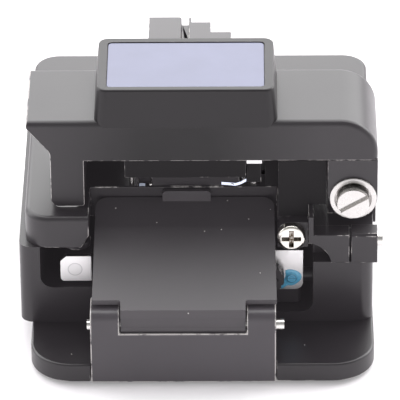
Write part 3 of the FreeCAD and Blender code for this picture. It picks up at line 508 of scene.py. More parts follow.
@dataclass(frozen=True)
class EdgeWearAndHighlight(BlackCoat):
    """A black edge with pale patches: partly coat worn through, partly painted highlight.

    Attributes:
        pale_tint: Pale colour of the patches, for worn-through metal and painted highlight.
        patch: Features per metre, octaves and fine strength of the pale patches.
        starts: Noise level where a plain edge begins to turn pale.
        full: Noise level where it is fully pale.
        lower: How far full wear and highlight lowers both levels.
    """

    pale_tint: Colour = (0.42, 0.40, 0.39)
    patch: Tuple[float, float, float] = (420.0, 3.0, 0.65)
    starts: float = 0.62
    full: float = 0.74
    lower: float = 0.3

    def marked(self, paint: Paint, colour: Signal) -> Signal:
        """Paint pale patches on the edge, for worn coat and painted highlight.

        Args:
            paint: The tree builder.
            colour: The plain colour.

        Returns:
            The marked colour.
        """
        drop = self.lower * self.edge_wear_and_highlight
        patch = paint.noise(*self.patch).ramp(self.starts - drop, self.full - drop)
        return paint.mix(patch, colour, self.pale_tint)


@dataclass(frozen=True)
class Lacquer(Finish):
    """Locking lacquer over a screw's head, which shows through.

    Attributes:
        middle: The screw's middle along X and Z, in metres.
        head: The screw head's radius.
        rim: Half the width of the head's outline.
        slot: Half the width of its slot and of the ring inside it.
        inner: Radius of that ring as a share of the head's.
        inner_share: Strength of that ring.
        deep: Colour over the head's lines.
        cloud: Features per metre, octaves and fine strength of the thin places.
        levels: Noise levels between which it thins.
        thin: Colour where the lacquer is thin.
        thin_share: Strength of that colour.
    """

    middle: Tuple[float, float] = (0.0183, 0.0142)
    head: float = 0.0009
    rim: float = 0.00014
    slot: float = 0.0001
    inner: float = 0.55
    inner_share: float = 0.6
    deep: Colour = (0.012, 0.07, 0.12)
    cloud: Tuple[float, float, float] = (1100.0, 2.0, 0.6)
    levels: Tuple[float, float] = (0.5, 0.75)
    thin: Colour = (0.25, 0.58, 0.72)
    thin_share: float = 0.35

    def marked(self, paint: Paint, colour: Signal) -> Signal:
        """Add the outline and slot of the head, and the thin places.

        Args:
            paint: The tree builder.
            colour: The plain colour.

        Returns:
            The marked colour.
        """
        _, _, z = paint.axes()
        reach = paint.from_line(self.middle)
        ring = reach.near(self.head, self.rim)
        slot = (z - self.middle[1]).near(0.0, self.slot) * reach.below(self.head)
        inner = reach.near(self.head * self.inner, self.slot) * self.inner_share
        tint = paint.mix(ring + slot + inner, colour, self.deep)
        pale = paint.noise(*self.cloud).ramp(*self.levels) * self.thin_share
        return paint.mix(pale, tint, self.thin)


BLACK = (0.016, 0.0135, 0.016)
CAST_BLACK = BlackCoat("cast_black", BLACK, 0.34, grain_depth=0.000012, dust=0.03)
# The lid's black, with painted shade across the middle of its front.
LID_BLACK = MiddleShadedCast("lid_black", BLACK, 0.34, grain_depth=0.000012, dust=0.03, edge_wear_and_highlight=0.7)
MACHINED_BLACK = BlackCoat("machined_black", BLACK, 0.36, grain_depth=0.000008, dust=0.03)
COVER_BLACK = BlackCoat("cover_black", (0.004, 0.003, 0.004), 0.34, dust=0.02, specular=0.36)
FLAP_BLACK = BlackCoat("flap_black", (0.048, 0.043, 0.048), 0.40, grain_depth=0.000007, dust=0.8,
                       edge_wear_and_highlight=0.85)
BRACKET_BLACK = BlackCoat("bracket_black", (0.042, 0.037, 0.043), 0.36, grain_depth=0.000008, dust=0.06,
                          edge_wear_and_highlight=0.85)
BASE_BLACK = BlackCoat("base_black", (0.010, 0.008, 0.010), 0.34, dust=0.05)
# A darker black that paints the deep shade under the lid on the guard, clamp holder and magnet post; it is
# also rough and dull.
SHADE_BLACK = BlackCoat("shade_black", (0.003, 0.0025, 0.003), 0.62, grain_depth=0.00002, swing=0.06,
                       dust=0.05, specular=0.22, edge_wear_and_highlight=0.15)
BLOCK_BLACK = BlackCoat("block_black", (0.050, 0.046, 0.050), 0.36, grain_depth=0.000008)
PLASTIC_BLACK = BlackCoat("plastic_black", (0.026, 0.025, 0.026), 0.42, grain_depth=0.00002, swing=0.06,
                          specular=0.55)
BRIGHT_STEEL = Finish("steel_bright", (0.78, 0.76, 0.74), 0.2, metallic=1.0, grain=Grain.TURNED,
                      grain_depth=0.000004, swing=0.06)
PIN_STEEL = Finish("steel_pin", (0.60, 0.585, 0.57), 0.26, metallic=1.0, grain=Grain.TURNED,
                   grain_depth=0.000004, swing=0.06)
# The screw's steel, with painted shade in its recess.
SCREW_STEEL = RecessedSteel("steel_screw", (0.80, 0.77, 0.72), 0.16, metallic=1.0, grain=Grain.TURNED,
                            grain_depth=0.000006, swing=0.05)
GROUND_STEEL = Finish("steel_ground", (0.84, 0.83, 0.83), 0.3, metallic=1.0, grain=Grain.BRUSHED,
                      grain_depth=0.000004)
RAIL_STEEL = RivetedSteel("steel_rail", (0.88, 0.87, 0.87), 0.3, metallic=1.0, grain=Grain.BRUSHED,
                          grain_depth=0.000004)
BLADE_ALLOY = Finish("alloy_blade", (0.5, 0.5, 0.51), 0.18, metallic=1.0, grain=Grain.TURNED,
                     grain_depth=0.000003)
RUBBER_BLACK = Finish("black_tread", (0.018, 0.018, 0.018), 0.7, grain_depth=0.00003, specular=0.3)
# Pale finish of the sheet that paints the highlight under the lid's leg.
HIGHLIGHT_PALE = Finish("highlight_pale", (0.72, 0.72, 0.72), 0.4, grain_depth=0.000004)
PAD_GREY = Finish("pad_rubber", (0.22, 0.22, 0.23), 0.55, specular=0.4)
LABEL_GLOSS = Finish("gloss_label", (0.108, 0.114, 0.190), 0.22, grain=Grain.SMOOTH,
                     grain_depth=0.000002, swing=0.03)
MAGNET_NICKEL = Finish("nickel_magnet", (0.7, 0.69, 0.66), 0.15, metallic=1.0, grain=Grain.SMOOTH)
LACQUER_BLUE = Lacquer("lacquer_blue", (0.10, 0.36, 0.56), 0.3, grain=Grain.SMOOTH, swing=0.1, coat=0.5)
CLIP_STEEL = Finish("steel_clip", (0.66, 0.72, 0.88), 0.16, metallic=1.0, grain=Grain.SMOOTH, swing=0.04)
MARK_GREY = Finish("mark_grey", (0.30, 0.30, 0.30), 0.5, grain_depth=0.000004, specular=0.4)

FINISH_OF_SLOT: Dict[str, Finish] = {
    "black_cast": CAST_BLACK,
    "black_machined": MACHINED_BLACK,
    "bright_steel": BRIGHT_STEEL,
    "ground_steel": GROUND_STEEL,
    "blade_alloy": BLADE_ALLOY,
    "black_rubber": RUBBER_BLACK,
    "grey_pad": PAD_GREY,
    "label_gloss": LABEL_GLOSS,
    "black_plastic": PLASTIC_BLACK,
    "magnet": MAGNET_NICKEL,
}
FINISH_OF_NODE: Dict[str, Finish] = {
    "base_plate": BASE_BLACK,
    "front_bracket": BRACKET_BLACK,
    "rail_plate": RAIL_STEEL,
    # Painted shade on the guard, deep under the lid.
    "blade_guard": SHADE_BLACK,
    "pad_screw": SCREW_STEEL,
    "lid_hinge_pin": PIN_STEEL,
    "lid_arm": LID_BLACK,
    "press_block": COVER_BLACK,
    # Painted shade on the clamp holder and magnet post.
    "clamp_holder": SHADE_BLACK,
    "lid_magnet_post": SHADE_BLACK,
    "hinge_bush": PIN_STEEL,
    "flap": FLAP_BLACK,
    "collector_body": BLOCK_BLACK,
}


# ---------------------------------------- mesh helpers
MERGE_DISTANCE = 1e-6
FLAT_ANGLE = math.radians(0.6)
EDGE_ANGLE = math.radians(38)
EDGE_FACETS = 2
FACE_WEIGHT = 90
EDGE_ROUGHNESS = 0.30
QUARTER_STEPS = 6


def body_of(node: str) -> str:
    """The body that a CAD node belongs to."""
    bodies = frame["record"]["behaviour"]["bodies"]
    return next(body for body, members in bodies.items() if node in members)


def slot_of(node: str) -> str:
    """The record's material slot of a CAD node."""
    return next(row["material_slot"] for row in frame["record"]["subparts"] if row["node"] == node)


def finish_of(node: str) -> Finish:
    """A CAD node's own finish, or else its slot's."""
    return FINISH_OF_NODE.get(node) or FINISH_OF_SLOT[slot_of(node)]


def corners_of(node: str) -> Tuple[Vector, Vector]:
    """A CAD node's lowest and highest corner at rest."""
    low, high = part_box(node)
    return Vector(low), Vector(high)


def middle_of(node: str) -> Vector:
    """The middle of a CAD node's box."""
    low, high = corners_of(node)
    return (low + high) / 2


def circle(count: int) -> Sequence[float]:
    """Equal turns round a circle, in radians."""
    return [2 * math.pi * k / count for k in range(count)]


def within(value: float, low: float, high: float) -> float:
    """How far a value is from low to high, kept between 0 and 1."""
    return min(1.0, max(0.0, (value - low) / (high - low)))


def linked(name: str, data: bpy.types.ID) -> bpy.types.Object:
    """Make an object of some data and put it in the scene.

    Args:
        name: The object's name.
        data: Its mesh, camera or light.

    Returns:
        The object.
    """
    piece = bpy.data.objects.new(name, data)
    bpy.context.scene.collection.objects.link(piece)
    return piece


def meshed(name: str, work: bmesh.types.BMesh, smooth: bool) -> bpy.types.Mesh:
    """Turn a working mesh into a plain one and free it.

    Args:
        name: The mesh's name.
        work: The working mesh.
        smooth: Whether its faces are smooth.

    Returns:
        The plain mesh.
    """
    mesh = bpy.data.meshes.new(name)
    work.to_mesh(mesh)
    work.free()
    for face in mesh.polygons:
        face.use_smooth = smooth
    return mesh


def edge_of(finish: Finish) -> Finish:
    """The edge finish, with worn patches and painted highlight, that goes with a black finish."""
    return EdgeWearAndHighlight(finish.name + "_edge", finish.colour, EDGE_ROUGHNESS, edge_wear_and_highlight=finish.edge_wear_and_highlight)


def softened(node: str, width: float) -> None:
    """Replace a CAD node by a copy whose sharp edges are broken.

    Args:
        node: The CAD node.
        width: Width of the broken edge in metres.
    """
    work = bmesh.new()
    work.from_mesh(frame["nodes"][node].data)
    bmesh.ops.remove_doubles(work, verts=work.verts, dist=MERGE_DISTANCE)
    bmesh.ops.dissolve_limit(work, angle_limit=FLAT_ANGLE, verts=work.verts, edges=work.edges)
    piece = linked(node + "_soft", meshed(node + "_soft", work, smooth=True))
    bevel = piece.modifiers.new("edge", "BEVEL")
    bevel.width = width
    bevel.segments = EDGE_FACETS
    bevel.limit_method = "ANGLE"
    bevel.angle_limit = EDGE_ANGLE
    bevel.use_clamp_overlap = True
    bevel.harden_normals = False
    smooth = piece.modifiers.new("faces", "WEIGHTED_NORMAL")
    smooth.keep_sharp = False
    smooth.weight = FACE_WEIGHT
    piece.data.materials.clear()
    finish = finish_of(node)
    piece.data.materials.append(finish.material())
    if not finish.metallic:
        # The bevel faces take pale patches: worn coat and painted edge highlight.
        piece.data.materials.append(edge_of(finish).material())
        bevel.material = 1
    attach(piece, body_of(node))
    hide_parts(node)
    LOG.info("softened %s", node)


def dressed(node: str) -> None:
    """Give a CAD node its finish as it stands.

    Args:
        node: The CAD node.
    """
    piece = frame["nodes"][node]
    material = finish_of(node).material()
    if not piece.material_slots:
        piece.data.materials.append(material)
    for place in piece.material_slots:
        place.material = material
    LOG.info("dressed %s", node)


def added(name: str, mesh: bpy.types.Mesh, body: str, finish: Finish) -> bpy.types.Object:
    """Place a finished mesh on a body.

    Args:
        name: The piece's name.
        mesh: Its mesh, already in place.
        body: The body it rides on.
        finish: Its finish.

    Returns:
        The piece.
    """
    piece = linked(name, mesh)
    mesh.materials.clear()
    mesh.materials.append(finish.material())
    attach(piece, body)
    LOG.info("added %s", name)
    return piece


def shell(name: str, rings: Sequence[Sequence[Vector]], smooth: bool = True) -> bpy.types.Mesh:
    """Skin rings of points into a closed mesh with both ends capped by a pole.

    Args:
        name: The mesh's name.
        rings: Rings of equal length, from one end to the other.
        smooth: Whether its faces are smooth.

    Returns:
        The mesh, with its normals outward.
    """
    work = bmesh.new()
    rows = [[work.verts.new(point) for point in ring] for ring in rings]
    count = len(rows[0])
    for low, high in zip(rows, rows[1:]):
        for i in range(count):
            j = (i + 1) % count
            work.faces.new((low[i], low[j], high[j], high[i]))
    for row in (rows[0], rows[-1]):
        pole = work.verts.new(sum((v.co for v in row), Vector()) / count)
        for i in range(count):
            work.faces.new((row[i], row[(i + 1) % count], pole))
    bmesh.ops.recalc_face_normals(work, faces=work.faces)
    return meshed(name, work, smooth)


def course(path: Sequence[Vector], i: int) -> Vector:
    """Direction of a path at one of its points, one long."""
    return (path[min(i + 1, len(path) - 1)] - path[max(i - 1, 0)]).normalized()


def wire(name: str, path: Sequence[Vector], radius: float, sides: int = 10) -> bpy.types.Mesh:
    """A round wire along a path.

    Args:
        name: The mesh's name.
        path: The points of its middle line.
        radius: The wire's radius.
        sides: Points round it.

    Returns:
        The wire's mesh.
    """
    rings = []
    across = (path[1] - path[0]).orthogonal().normalized()
    for i, point in enumerate(path):
        along = course(path, i)
        across = (across - along * across.dot(along)).normalized()
        other = along.cross(across)
        rings.append([point + (across * math.cos(turn) + other * math.sin(turn)) * radius
                      for turn in circle(sides)])
    return shell(name, rings)


def ribbon(name: str, path: Sequence[Vector], wide: Vector, thick: float) -> bpy.types.Mesh:
    """A flat strip along a path.

    Args:
        name: The mesh's name.
        path: The points of its middle line.
        wide: Half its width, as a vector.
        thick: Its thickness.

    Returns:
        The strip's mesh.
    """
    rings = []
    for i, point in enumerate(path):
        lift = course(path, i).cross(wide).normalized() * (thick / 2)
        rings.append([point - wide - lift, point + wide - lift, point + wide + lift, point - wide + lift])
    return shell(name, rings, smooth=False)


@dataclass(frozen=True)
class RingArray:
    """Equal small blocks round an axis, made with geometry nodes.

    Attributes:
        name: The result's name.
        count: How many blocks.
        radius: Radius of the circle through their middles.
        block: Each block's size along the radius, round it and along the axis.
    """

    name: str
    count: int
    radius: float
    block: Tuple[float, float, float]

    def group(self, finish: Finish) -> bpy.types.NodeTree:
        """Build the node group.

        Args:
            finish: The blocks' finish.

        Returns:
            The group.
        """
        tree = bpy.data.node_groups.new(self.name + "_nodes", "GeometryNodeTree")
        sockets = (("Geometry", "Geometry"), ("Count", "Int"), ("Radius", "Float"), ("Block", "Vector"))
        for name, kind in sockets:
            tree.interface.new_socket(name, in_out="INPUT", socket_type="NodeSocket" + kind)
        tree.interface.new_socket("Geometry", in_out="OUTPUT", socket_type="NodeSocketGeometry")
        graph = Graph(tree)
        count = graph.node("NodeGroupInput", {}, {}, "Count")
        ring = graph.node("GeometryNodeMeshCircle", {},
                          {"Vertices": count, "Radius": count.other("Radius")})
        block = graph.node("GeometryNodeMeshCube", {}, {"Size": count.other("Block")})
        place = graph.node("GeometryNodeInputPosition", {}, {})
        aim = graph.node("FunctionNodeAlignEulerToVector", {"axis": "X"}, {"Vector": place})
        spread = graph.node("GeometryNodeInstanceOnPoints", {},
                            {"Points": ring, "Instance": block, "Rotation": aim})
        real = graph.node("GeometryNodeRealizeInstances", {}, {0: spread})
        paint = graph.node("GeometryNodeSetMaterial", {}, {"Geometry": real, "Material": finish.material()})
        graph.node("NodeGroupOutput", {}, {0: paint})
        return tree

    def mesh(self, finish: Finish, where: Matrix) -> bpy.types.Mesh:
        """Run the group once and keep the plain result.

        Args:
            finish: The blocks' finish.
            where: Moves the ring from the XY plane to its place.

        Returns:
            The placed mesh.
        """
        holder = linked(self.name + "_maker", bpy.data.meshes.new(self.name + "_maker"))
        maker = holder.modifiers.new("ring", "NODES")
        maker.node_group = self.group(finish)
        values = {"Count": self.count, "Radius": self.radius, "Block": self.block}
        for item in maker.node_group.interface.items_tree:
            if item.in_out == "INPUT" and item.name in values:
                maker[item.identifier] = values[item.name]
        holder.update_tag()
        graph = bpy.context.evaluated_depsgraph_get()
        mesh = bpy.data.meshes.new_from_object(holder.evaluated_get(graph))
        mesh.transform(where)
        holder.modifiers.remove(maker)
        bpy.data.objects.remove(holder)
        return mesh


# ---------------------------------------- the studio
WHITE = (1.0, 1.0, 1.0)
INK = (0.0, 0.0, 0.0)
AIM = (0.0, 0.0, 0.02)
BACK_RISE = math.radians(52.0)
BACK_AWAY = 0.8
BACK_PLACE = (0.0, BACK_AWAY * math.cos(BACK_RISE), AIM[2] + BACK_AWAY * math.sin(BACK_RISE))


@dataclass(frozen=True)
class Panel:
    """A soft panel lamp that faces the cleaver.

    Attributes:
        name: Its name.
        place: Where it stands, in metres.
        size: Its width and height, in metres.
        radiance: Its brightness as seen from the cleaver.
        glossy: Whether it shows in reflections.
    """

    name: str
    place: Tuple[float, float, float]
    size: Tuple[float, float]
    radiance: float
    glossy: bool = True

    def build(self) -> None:
        """Add the lamp and aim it."""
        data = bpy.data.lights.new(self.name, "AREA")
        data.shape = "RECTANGLE"
        data.size, data.size_y = self.size
        data.energy = self.radiance * math.pi * self.size[0] * self.size[1]
        light = linked(self.name, data)
        light.location = self.place
        light.visible_camera = False
        light.visible_glossy = self.glossy
        light.rotation_mode = "QUATERNION"
        light.rotation_quaternion = (Vector(AIM) - Vector(self.place)).to_track_quat("-Z", "Y")


PANELS = (
    Panel("back_panel", BACK_PLACE, (1.6, 1.4), 3.2),
    Panel("front_fill", (0.0, -0.9, 0.9), (0.9, 0.9), 1.4, glossy=False),
    Panel("low_fill", (0.0, -1.2, 0.22), (1.4, 0.4), 2.2, glossy=False),
    Panel("right_panel", (0.86, 0.42, 0.45), (0.6, 0.7), 5.5),
    Panel("left_panel", (-0.90, 0.22, 0.40), (0.6, 0.7), 3.0),
)


@dataclass
class Studio:
    """Camera, lamps, world, floor and card.

    Attributes:
        target: The point the camera looks at.
        distance: How far the camera stands from it.
        azimuth: The camera's turn to the right, in degrees.
        elevation: Its rise, in degrees.
        roll: Its roll, in degrees.
        focal: Focal length in millimetres, on a sensor as wide as `sensor`.
        sensor: The sensor's width in millimetres.
        sight: How far the camera sees, in metres.
        ambient: Strength of the surround as a light.
        floor_half: Half the floor's side.
        floor_colour: The floor's colour.
        floor_glow: What lifts the floor where it is seen itself.
        card_rise: Elevation of the dark card's middle, in degrees.
        card_away: How far the card stands from the origin.
        card_half: Half the card's width.
        card_span: Its lower and upper edge from its middle.
    """

    target: Tuple[float, float, float] = (-0.263, -4.641, 20.489)
    distance: float = 0.94192
    azimuth: float = 0.5856
    elevation: float = 31.697
    roll: float = -0.508
    focal: float = 414.0
    sensor: float = 36.0
    sight: float = 20.0
    ambient: float = 0.38
    floor_half: float = 3.0
    floor_colour: Colour = (0.76, 0.735, 0.76)
    floor_glow: float = 0.20
    card_rise: float = 57.0
    card_away: float = 1.75
    card_half: float = 1.9
    card_span: Tuple[float, float] = (-1.2, 1.05)

    def camera(self) -> None:
        """Make the camera and aim it."""
        data = bpy.data.cameras.new("camera")
        data.sensor_width = self.sensor
        data.lens = self.focal
        data.clip_end = self.sight
        camera = linked("camera", data)
        turn = math.radians(self.azimuth)
        rise = math.radians(self.elevation)
        back = Vector((math.sin(turn) * math.cos(rise), -math.cos(turn) * math.cos(rise), math.sin(rise)))
        place = Vector(self.target) * MM + back * self.distance
        aim = (-back).to_track_quat("-Z", "Y").to_matrix().to_4x4()
        spin = Matrix.Rotation(math.radians(self.roll), 4, "Z")
        camera.matrix_world = Matrix.Translation(place) @ aim @ spin
        bpy.context.scene.camera = camera

    def world(self) -> None:
        """A white surround, at full strength where it is seen itself."""
        world = bpy.data.worlds.new("surround")
        bpy.context.scene.world = world
        world.use_nodes = True
        graph = Graph(world.node_tree)
        shade = world.node_tree.nodes["Background"]
        graph.feed(shade.inputs["Color"], WHITE)
        graph.feed(shade.inputs["Strength"], graph.direct() * (1.0 - self.ambient) + self.ambient)

    def sheet(self, name: str, corners: Sequence[Sequence[float]], paint: Paint) -> bpy.types.Object:
        """Add a flat sheet to the studio.

        Args:
            name: The sheet's name.
            corners: Its four corners, in metres.
            paint: Its finished material.

        Returns:
            The sheet.
        """
        mesh = bpy.data.meshes.new(name)
        mesh.from_pydata(corners, [], [(0, 1, 2, 3)])
        mesh.materials.append(paint.material)
        piece = linked(name, mesh)
        return piece

    def floor(self) -> None:
        """A plain pale floor that keeps a soft shadow."""
        half = self.floor_half
        paint = Paint("floor_white")
        paint.set(Base_Color=self.floor_colour, Roughness=0.9, Specular_IOR_Level=0.0,
                  Emission_Color=WHITE, Emission_Strength=paint.direct() * self.floor_glow)
        self.sheet("floor", [(-half, -half, 0), (half, -half, 0), (half, half, 0), (-half, half, 0)], paint)

    def card(self) -> None:
        """A dark card over the front, which the rounded edges mirror."""
        rise = math.radians(self.card_rise)
        middle = Vector((0.0, -math.cos(rise), math.sin(rise))) * self.card_away
        up = Vector((0.0, math.sin(rise), math.cos(rise)))
        side = Vector((self.card_half, 0.0, 0.0))
        low, high = (middle + up * height for height in self.card_span)
        paint = Paint("card_grey")
        paint.set(Base_Color=INK, Roughness=1.0, Specular_IOR_Level=0.0,
                  Emission_Color=WHITE, Emission_Strength=self.ambient)
        card = self.sheet("dark_card", [low - side, low + side, high + side, high - side], paint)
        card.visible_camera = False

    def build(self) -> None:
        """Set up the whole studio."""
        self.camera()
        self.world()
        self.floor()
        self.card()
        for panel in PANELS:
            panel.build()
        bpy.context.scene.view_settings.view_transform = "Standard"


# ---------------------------------------- sub-assemblies
Measures = Tuple[Tuple[str, float], ...]
Names = Tuple[str, ...]
Points = Tuple[Tuple[float, float], ...]


@dataclass
class Assembly:
    """A group of pieces that is built together.

    Attributes:
        soft: Nodes with broken edges, and the edge's width in millimetres.
        plain: Nodes whose shape stays as it is.
    """

    soft: Measures = ()
    plain: Names = ()

    def build(self) -> None:
        """Finish the group's CAD nodes, then add its small detail."""
        for node, width in self.soft:
            softened(node, width * MM)
        for node in self.plain:
            dressed(node)
        self.detail()

    def detail(self) -> None:
        """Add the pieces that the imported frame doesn't have."""


@dataclass
class FixedStructure(Assembly):
    """Base, housing, deck, bracket and the hinge's fixed side."""

    soft: Measures = (("base_plate", 0.25), ("front_bracket", 0.25), ("main_housing", 0.3), ("deck", 0.2),
                      ("rail_plate", 0.1), ("hinge_base", 0.18), ("side_block", 0.12), ("screw_pad", 0.12),
                      ("blade_guard", 0.12))
    plain: Names = ("rubber_feet", "base_screws", "guide_rods", "side_pin", "pad_screw", "flap_hinge_pin",
                    "lid_hinge_pin", "hinge_clip")


@dataclass
class FibreStage(Assembly):
    """The fixed clamp stages under the fibre.

    Attributes:
        clips: Middle line of each spring strip, from the stage's right end at its foot, and its lean
            in degrees.
        clip_wide: Half the width of a spring strip.
        clip_thick: Thickness of its sheet.
        clip_proud: How far it stands in front of the stage.
        screws: Where each strip's screw sits, from the stage's right end.
        screw_radius: Radius of a screw's head.
        screw_rise: Height of its middle over the stage's foot.
        screw_proud: How far its face stands in front of the stage.
        screw_rows: Where its rings of points lie from its face to the stage.
        screw_sides: Points round it.
    """

    soft: Measures = (("front_stage", 0.12), ("rear_stage", 0.12))
    plain: Names = ("front_lower_pad", "rear_lower_pad", "stage_pins", "magnet_keeper")
    clips: Tuple[Tuple[str, Points, float], ...] = (
        ("clip_right_low", ((-0.0036, 0.00075), (-0.0022, 0.00062), (-0.0008, 0.00045)), 12.0),
        ("clip_right_high", ((-0.0008, 0.00045), (0.0004, 0.00085), (0.0014, 0.00150)), 12.0),
        ("clip_left", ((-0.0202, 0.00042), (-0.0196, 0.00050), (-0.0190, 0.00040)), 30.0))
    clip_wide: float = 0.00028
    clip_thick: float = 0.00012
    clip_proud: float = 0.00022
    screws: Measures = (("clip_screw_right", -0.0014), ("clip_screw_left", -0.0179))
    screw_radius: float = 0.00035
    screw_rise: float = 0.0004
    screw_proud: float = 0.0003
    screw_rows: Tuple[float, ...] = (0.0, 1 / 3, 1.0)
    screw_sides: int = 20

    def clip(self, name: str, points: Points, lean: float) -> bpy.types.Mesh:
        """One polished spring strip in front of the stage.

        Args:
            name: The strip's name.
            points: Its middle line along X and Z.
            lean: How far its face leans back, in degrees.

        Returns:
            The strip's mesh.
        """
        low, high = corners_of("front_stage")
        path = [Vector((high.x + x, low.y - self.clip_proud, low.z + z)) for x, z in points]
        tilt = math.radians(lean)
        wide = Vector((0.0, math.sin(tilt), math.cos(tilt))) * self.clip_wide
        return ribbon(name, path, wide, self.clip_thick)

    def screw(self, name: str, x: float) -> bpy.types.Mesh:
        """The round head of a strip's screw.

        Args:
            name: The screw's name.
            x: Its place from the stage's right end.

        Returns:
            The head's mesh.
        """
        low, high = corners_of("front_stage")
        tip = Vector((high.x + x, low.y - self.screw_proud, low.z + self.screw_rise))
        path = [tip + Vector((0.0, self.screw_proud * share, 0.0)) for share in self.screw_rows]
        return wire(name, path, self.screw_radius, self.screw_sides)

    def detail(self) -> None:
        """Add the spring strips and their screws at both ends of the front stage."""
        for name, points, lean in self.clips:
            added(name, self.clip(name, points, lean), "chassis", CLIP_STEEL)
        for name, x in self.screws:
            added(name, self.screw(name, x), "chassis", BRIGHT_STEEL)


@dataclass
class Carriage(Assembly):
    """The sliding carriage, its blade and its height dial.

    Attributes:
        dab: The lacquer's middle along X and Z, in metres.
        dab_radius: Its radius away from the tail.
        dab_least: The radius it keeps next to the dial.
        dab_steps: How many points go round it.
        tail_angle: Direction of the tail, in degrees.
        tail: How far the tail runs on.
        tail_wide: The tail's half-width, in radians.
        wave: How far the edge swings in and out.
        waves: How often it does so round the dab.
        wave_turn: Where the swings begin, in radians.
        dial_gap: Bare metal between the lacquer and the dial.
        trim: The step by which the edge draws back from the dial.
        shares: Share of the reach at each ring, from under the edge to the middle.
        film: Thickness of the lacquer at its edge.
        bulge: How much thicker it is in the middle.
        skirt: How deep its underside sits in the plate.
        cap: Radius over which it covers the screw's head.
        cap_fade: Width of the slope down from the head.
        cap_film: Thickness over the head.
        marks: How many index marks the blade has.
        marks_share: Radius of their circle as a share of the blade's width.
        mark: A mark's size along the radius, round it and along the axis.
    """

    soft: Measures = (("carriage_block", 0.15), ("carriage_plate", 0.08), ("blade_holder", 0.1))
    plain: Names = ("height_screw", "blade_axle", "blade_disc", "height_dial")
    dab: Tuple[float, float] = (0.0183, 0.0142)
    dab_radius: float = 0.0019
    dab_least: float = 0.0010
    dab_steps: int = 96
    tail_angle: float = 231.0
    tail: float = 0.0016
    tail_wide: float = 0.16
    wave: float = 0.00012
    waves: int = 3
    wave_turn: float = 1.0
    dial_gap: float = 0.00025
    trim: float = 0.00003
    shares: Tuple[float, ...] = (1.0, 1.0, 0.96, 0.9, 0.8, 0.7, 0.62, 0.55, 0.48, 0.4, 0.3, 0.2, 0.1)
    film: float = 0.00003
    bulge: float = 0.00022
    skirt: float = 0.00002
    cap: float = 0.00125
    cap_fade: float = 0.0003
    cap_film: float = 0.00006
    marks: int = 16
    marks_share: float = 0.36
    mark: Tuple[float, float, float] = (0.001, 0.00014, 0.00004)

    def on_plate(self, angle: float, reach: float) -> Tuple[float, float]:
        """A place along X and Z, at an angle and a distance from the lacquer's middle."""
        return self.dab[0] + reach * math.cos(angle), self.dab[1] + reach * math.sin(angle)

    def dab_edge(self, angle: float) -> float:
        """Reach of the lacquer's edge in a direction.

        Args:
            angle: The direction, in radians.

        Returns:
            The reach, kept clear of the dial.
        """
        turn = angle - math.radians(self.tail_angle)
        off = math.atan2(math.sin(turn), math.cos(turn))
        reach = self.dab_radius + self.tail * math.exp(-(off / self.tail_wide) ** 2)
        reach += self.wave * math.sin(self.waves * angle + self.wave_turn)
        low, high = corners_of("height_dial")
        middle = middle_of("height_dial")
        clear = (high.x - low.x) / 2 + self.dial_gap
        while reach > self.dab_least:
            x, z = self.on_plate(angle, reach)
            if math.hypot(x - middle.x, z - middle.z) > clear:
                break
            reach -= self.trim
        return reach

    def lacquer(self) -> bpy.types.Mesh:
        """The dab of locking lacquer over the height screw."""
        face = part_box("carriage_plate")[0][1]
        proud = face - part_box("height_screw")[0][1] + self.cap_film
        edges = [(angle, self.dab_edge(angle)) for angle in circle(self.dab_steps)]
        rings = []
        for row, share in enumerate(self.shares):
            ring = []
            for angle, edge in edges:
                reach = edge * share
                lift = self.film + self.bulge * (1 - share ** 2)
                over = within(self.cap - reach, 0.0, self.cap_fade)
                lift += (proud - lift) * over * over * (3 - 2 * over)
                lift = -self.skirt if row == 0 else lift
                x, z = self.on_plate(angle, reach)
                ring.append(Vector((x, face - lift, z)))
            rings.append(ring)
        return shell("lacquer_dab", rings)

    def blade_marks(self) -> bpy.types.Mesh:
        """The blade's index marks, on its near face."""
        low, high = corners_of("blade_disc")
        middle = middle_of("blade_disc")
        turn = Matrix.Rotation(math.radians(90), 4, "X")
        where = Matrix.Translation((middle.x, low.y, middle.z)) @ turn
        ring = RingArray("blade_marks", self.marks, (high.x - low.x) * self.marks_share, self.mark)
        return ring.mesh(MARK_GREY, where)

    def detail(self) -> None:
        """Add the lacquer and the blade's index marks."""
        added("lacquer_dab", self.lacquer(), "carriage", LACQUER_BLUE)
        added("blade_marks", self.blade_marks(), "blade", MARK_GREY)


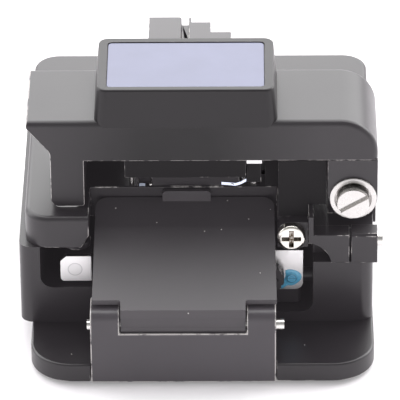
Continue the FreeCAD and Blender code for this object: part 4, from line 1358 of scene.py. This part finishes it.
@dataclass
class Lid(Assembly):
    """The lid, its clamp holder, thumb block and hinge block.

    Attributes:
        coil_turns: Turns of the anvil's spring.
        coil_radius: Radius of the coil's middle line.
        coil_wire: Radius of its wire.
        coil_steps: Points along one turn.
        coil_flat: Share of the wire that lies flat at each end.
        highlight_pad_ends: Left and right end along X of the pale sheet that paints the highlight at the
            leg's foot.
        highlight_pad_back: How far behind the lid's front it begins.
        highlight_pad_deep: How deep it is.
        highlight_pad_round: Radius of its corners.
        highlight_pad_levels: Its underside and top over the deck.
    """

    soft: Measures = (("lid_arm", 0.3), ("press_block", 0.15), ("clamp_holder", 0.15),
                      ("hinge_block", 0.15), ("lid_magnet_post", 0.12), ("striker_plate", 0.08))
    plain: Names = ("label_plate", "holder_screws", "front_upper_pad", "rear_upper_pad", "lid_magnet",
                    "hinge_bush", "anvil")
    coil_turns: float = 4.0
    coil_radius: float = 0.00045
    coil_wire: float = 0.00011
    coil_steps: int = 24
    coil_flat: float = 0.12
    highlight_pad_ends: Tuple[float, float] = (-0.0292, -0.0240)
    highlight_pad_back: float = 0.0002
    highlight_pad_deep: float = 0.005
    highlight_pad_round: float = 0.0012
    highlight_pad_levels: Tuple[float, float] = (0.00003, 0.00029)

    def coil(self) -> bpy.types.Mesh:
        """The anvil's spring as one wound wire."""
        low, high = corners_of("anvil_spring")
        middle = middle_of("anvil_spring")
        rise = high.z - low.z - 2 * self.coil_wire
        path = []
        steps = int(self.coil_turns * self.coil_steps)
        for i in range(steps + 1):
            share = i / steps
            lead = within(share, self.coil_flat, 1.0 - self.coil_flat)
            angle = 2 * math.pi * self.coil_turns * share
            path.append(Vector((middle.x + self.coil_radius * math.cos(angle),
                                middle.y + self.coil_radius * math.sin(angle),
                                low.z + self.coil_wire + rise * lead)))
        return wire("anvil_coil", path, self.coil_wire)

    def highlight_pad(self) -> bpy.types.Mesh:
        """A thin pale sheet under the lid's leg, rounded at its corners: a painted highlight at the leg's
        foot.
        """
        deck_top = corners_of("deck")[1].z
        front = corners_of("lid_arm")[0].y + self.highlight_pad_back
        left, right = self.highlight_pad_ends
        turn = self.highlight_pad_round
        corners = ((right - turn, front + turn, -90), (right - turn, front + self.highlight_pad_deep, 0),
                   (left + turn, front + self.highlight_pad_deep, 90), (left + turn, front + turn, 180))
        outline = []
        for x, y, start in corners:
            for step in range(QUARTER_STEPS + 1):
                angle = math.radians(start + 90 / QUARTER_STEPS * step)
                outline.append((x + turn * math.cos(angle), y + turn * math.sin(angle)))
        rings = [[Vector((x, y, deck_top + level)) for x, y in outline] for level in self.highlight_pad_levels]
        return shell("leg_highlight_pad", rings, smooth=False)

    def detail(self) -> None:
        """Add the wound spring and the pale sheet that paints the highlight at the leg's foot."""
        # The pale sheet is a painted highlight at the leg's foot.
        added("leg_highlight_pad", self.highlight_pad(), "lid", HIGHLIGHT_PALE)
        piece = added("anvil_coil", self.coil(), body_of("anvil_spring"),
                      BRIGHT_STEEL)
        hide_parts("anvil_spring")
        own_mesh(piece)


@dataclass
class Flap(Assembly):
    """The guard flap in front."""

    soft: Measures = (("flap", 0.12),)


@dataclass
class OffcutUnit(Assembly):
    """The stepped block, rollers and drawer behind the lid."""

    soft: Measures = (("collector_body", 0.15), ("roller_cheeks", 0.12), ("scrap_drawer", 0.2))
    plain: Names = ("feed_roller", "feed_axle", "pinch_roller")


def main() -> None:
    """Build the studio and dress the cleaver."""
    logging.basicConfig(level=logging.INFO, format="%(name)s: %(message)s")
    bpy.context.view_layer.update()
    Studio().build()
    for assembly in (FixedStructure(), FibreStage(), Carriage(), Lid(), Flap(), OffcutUnit()):
        assembly.build()


if __name__ == "__main__":
    main()
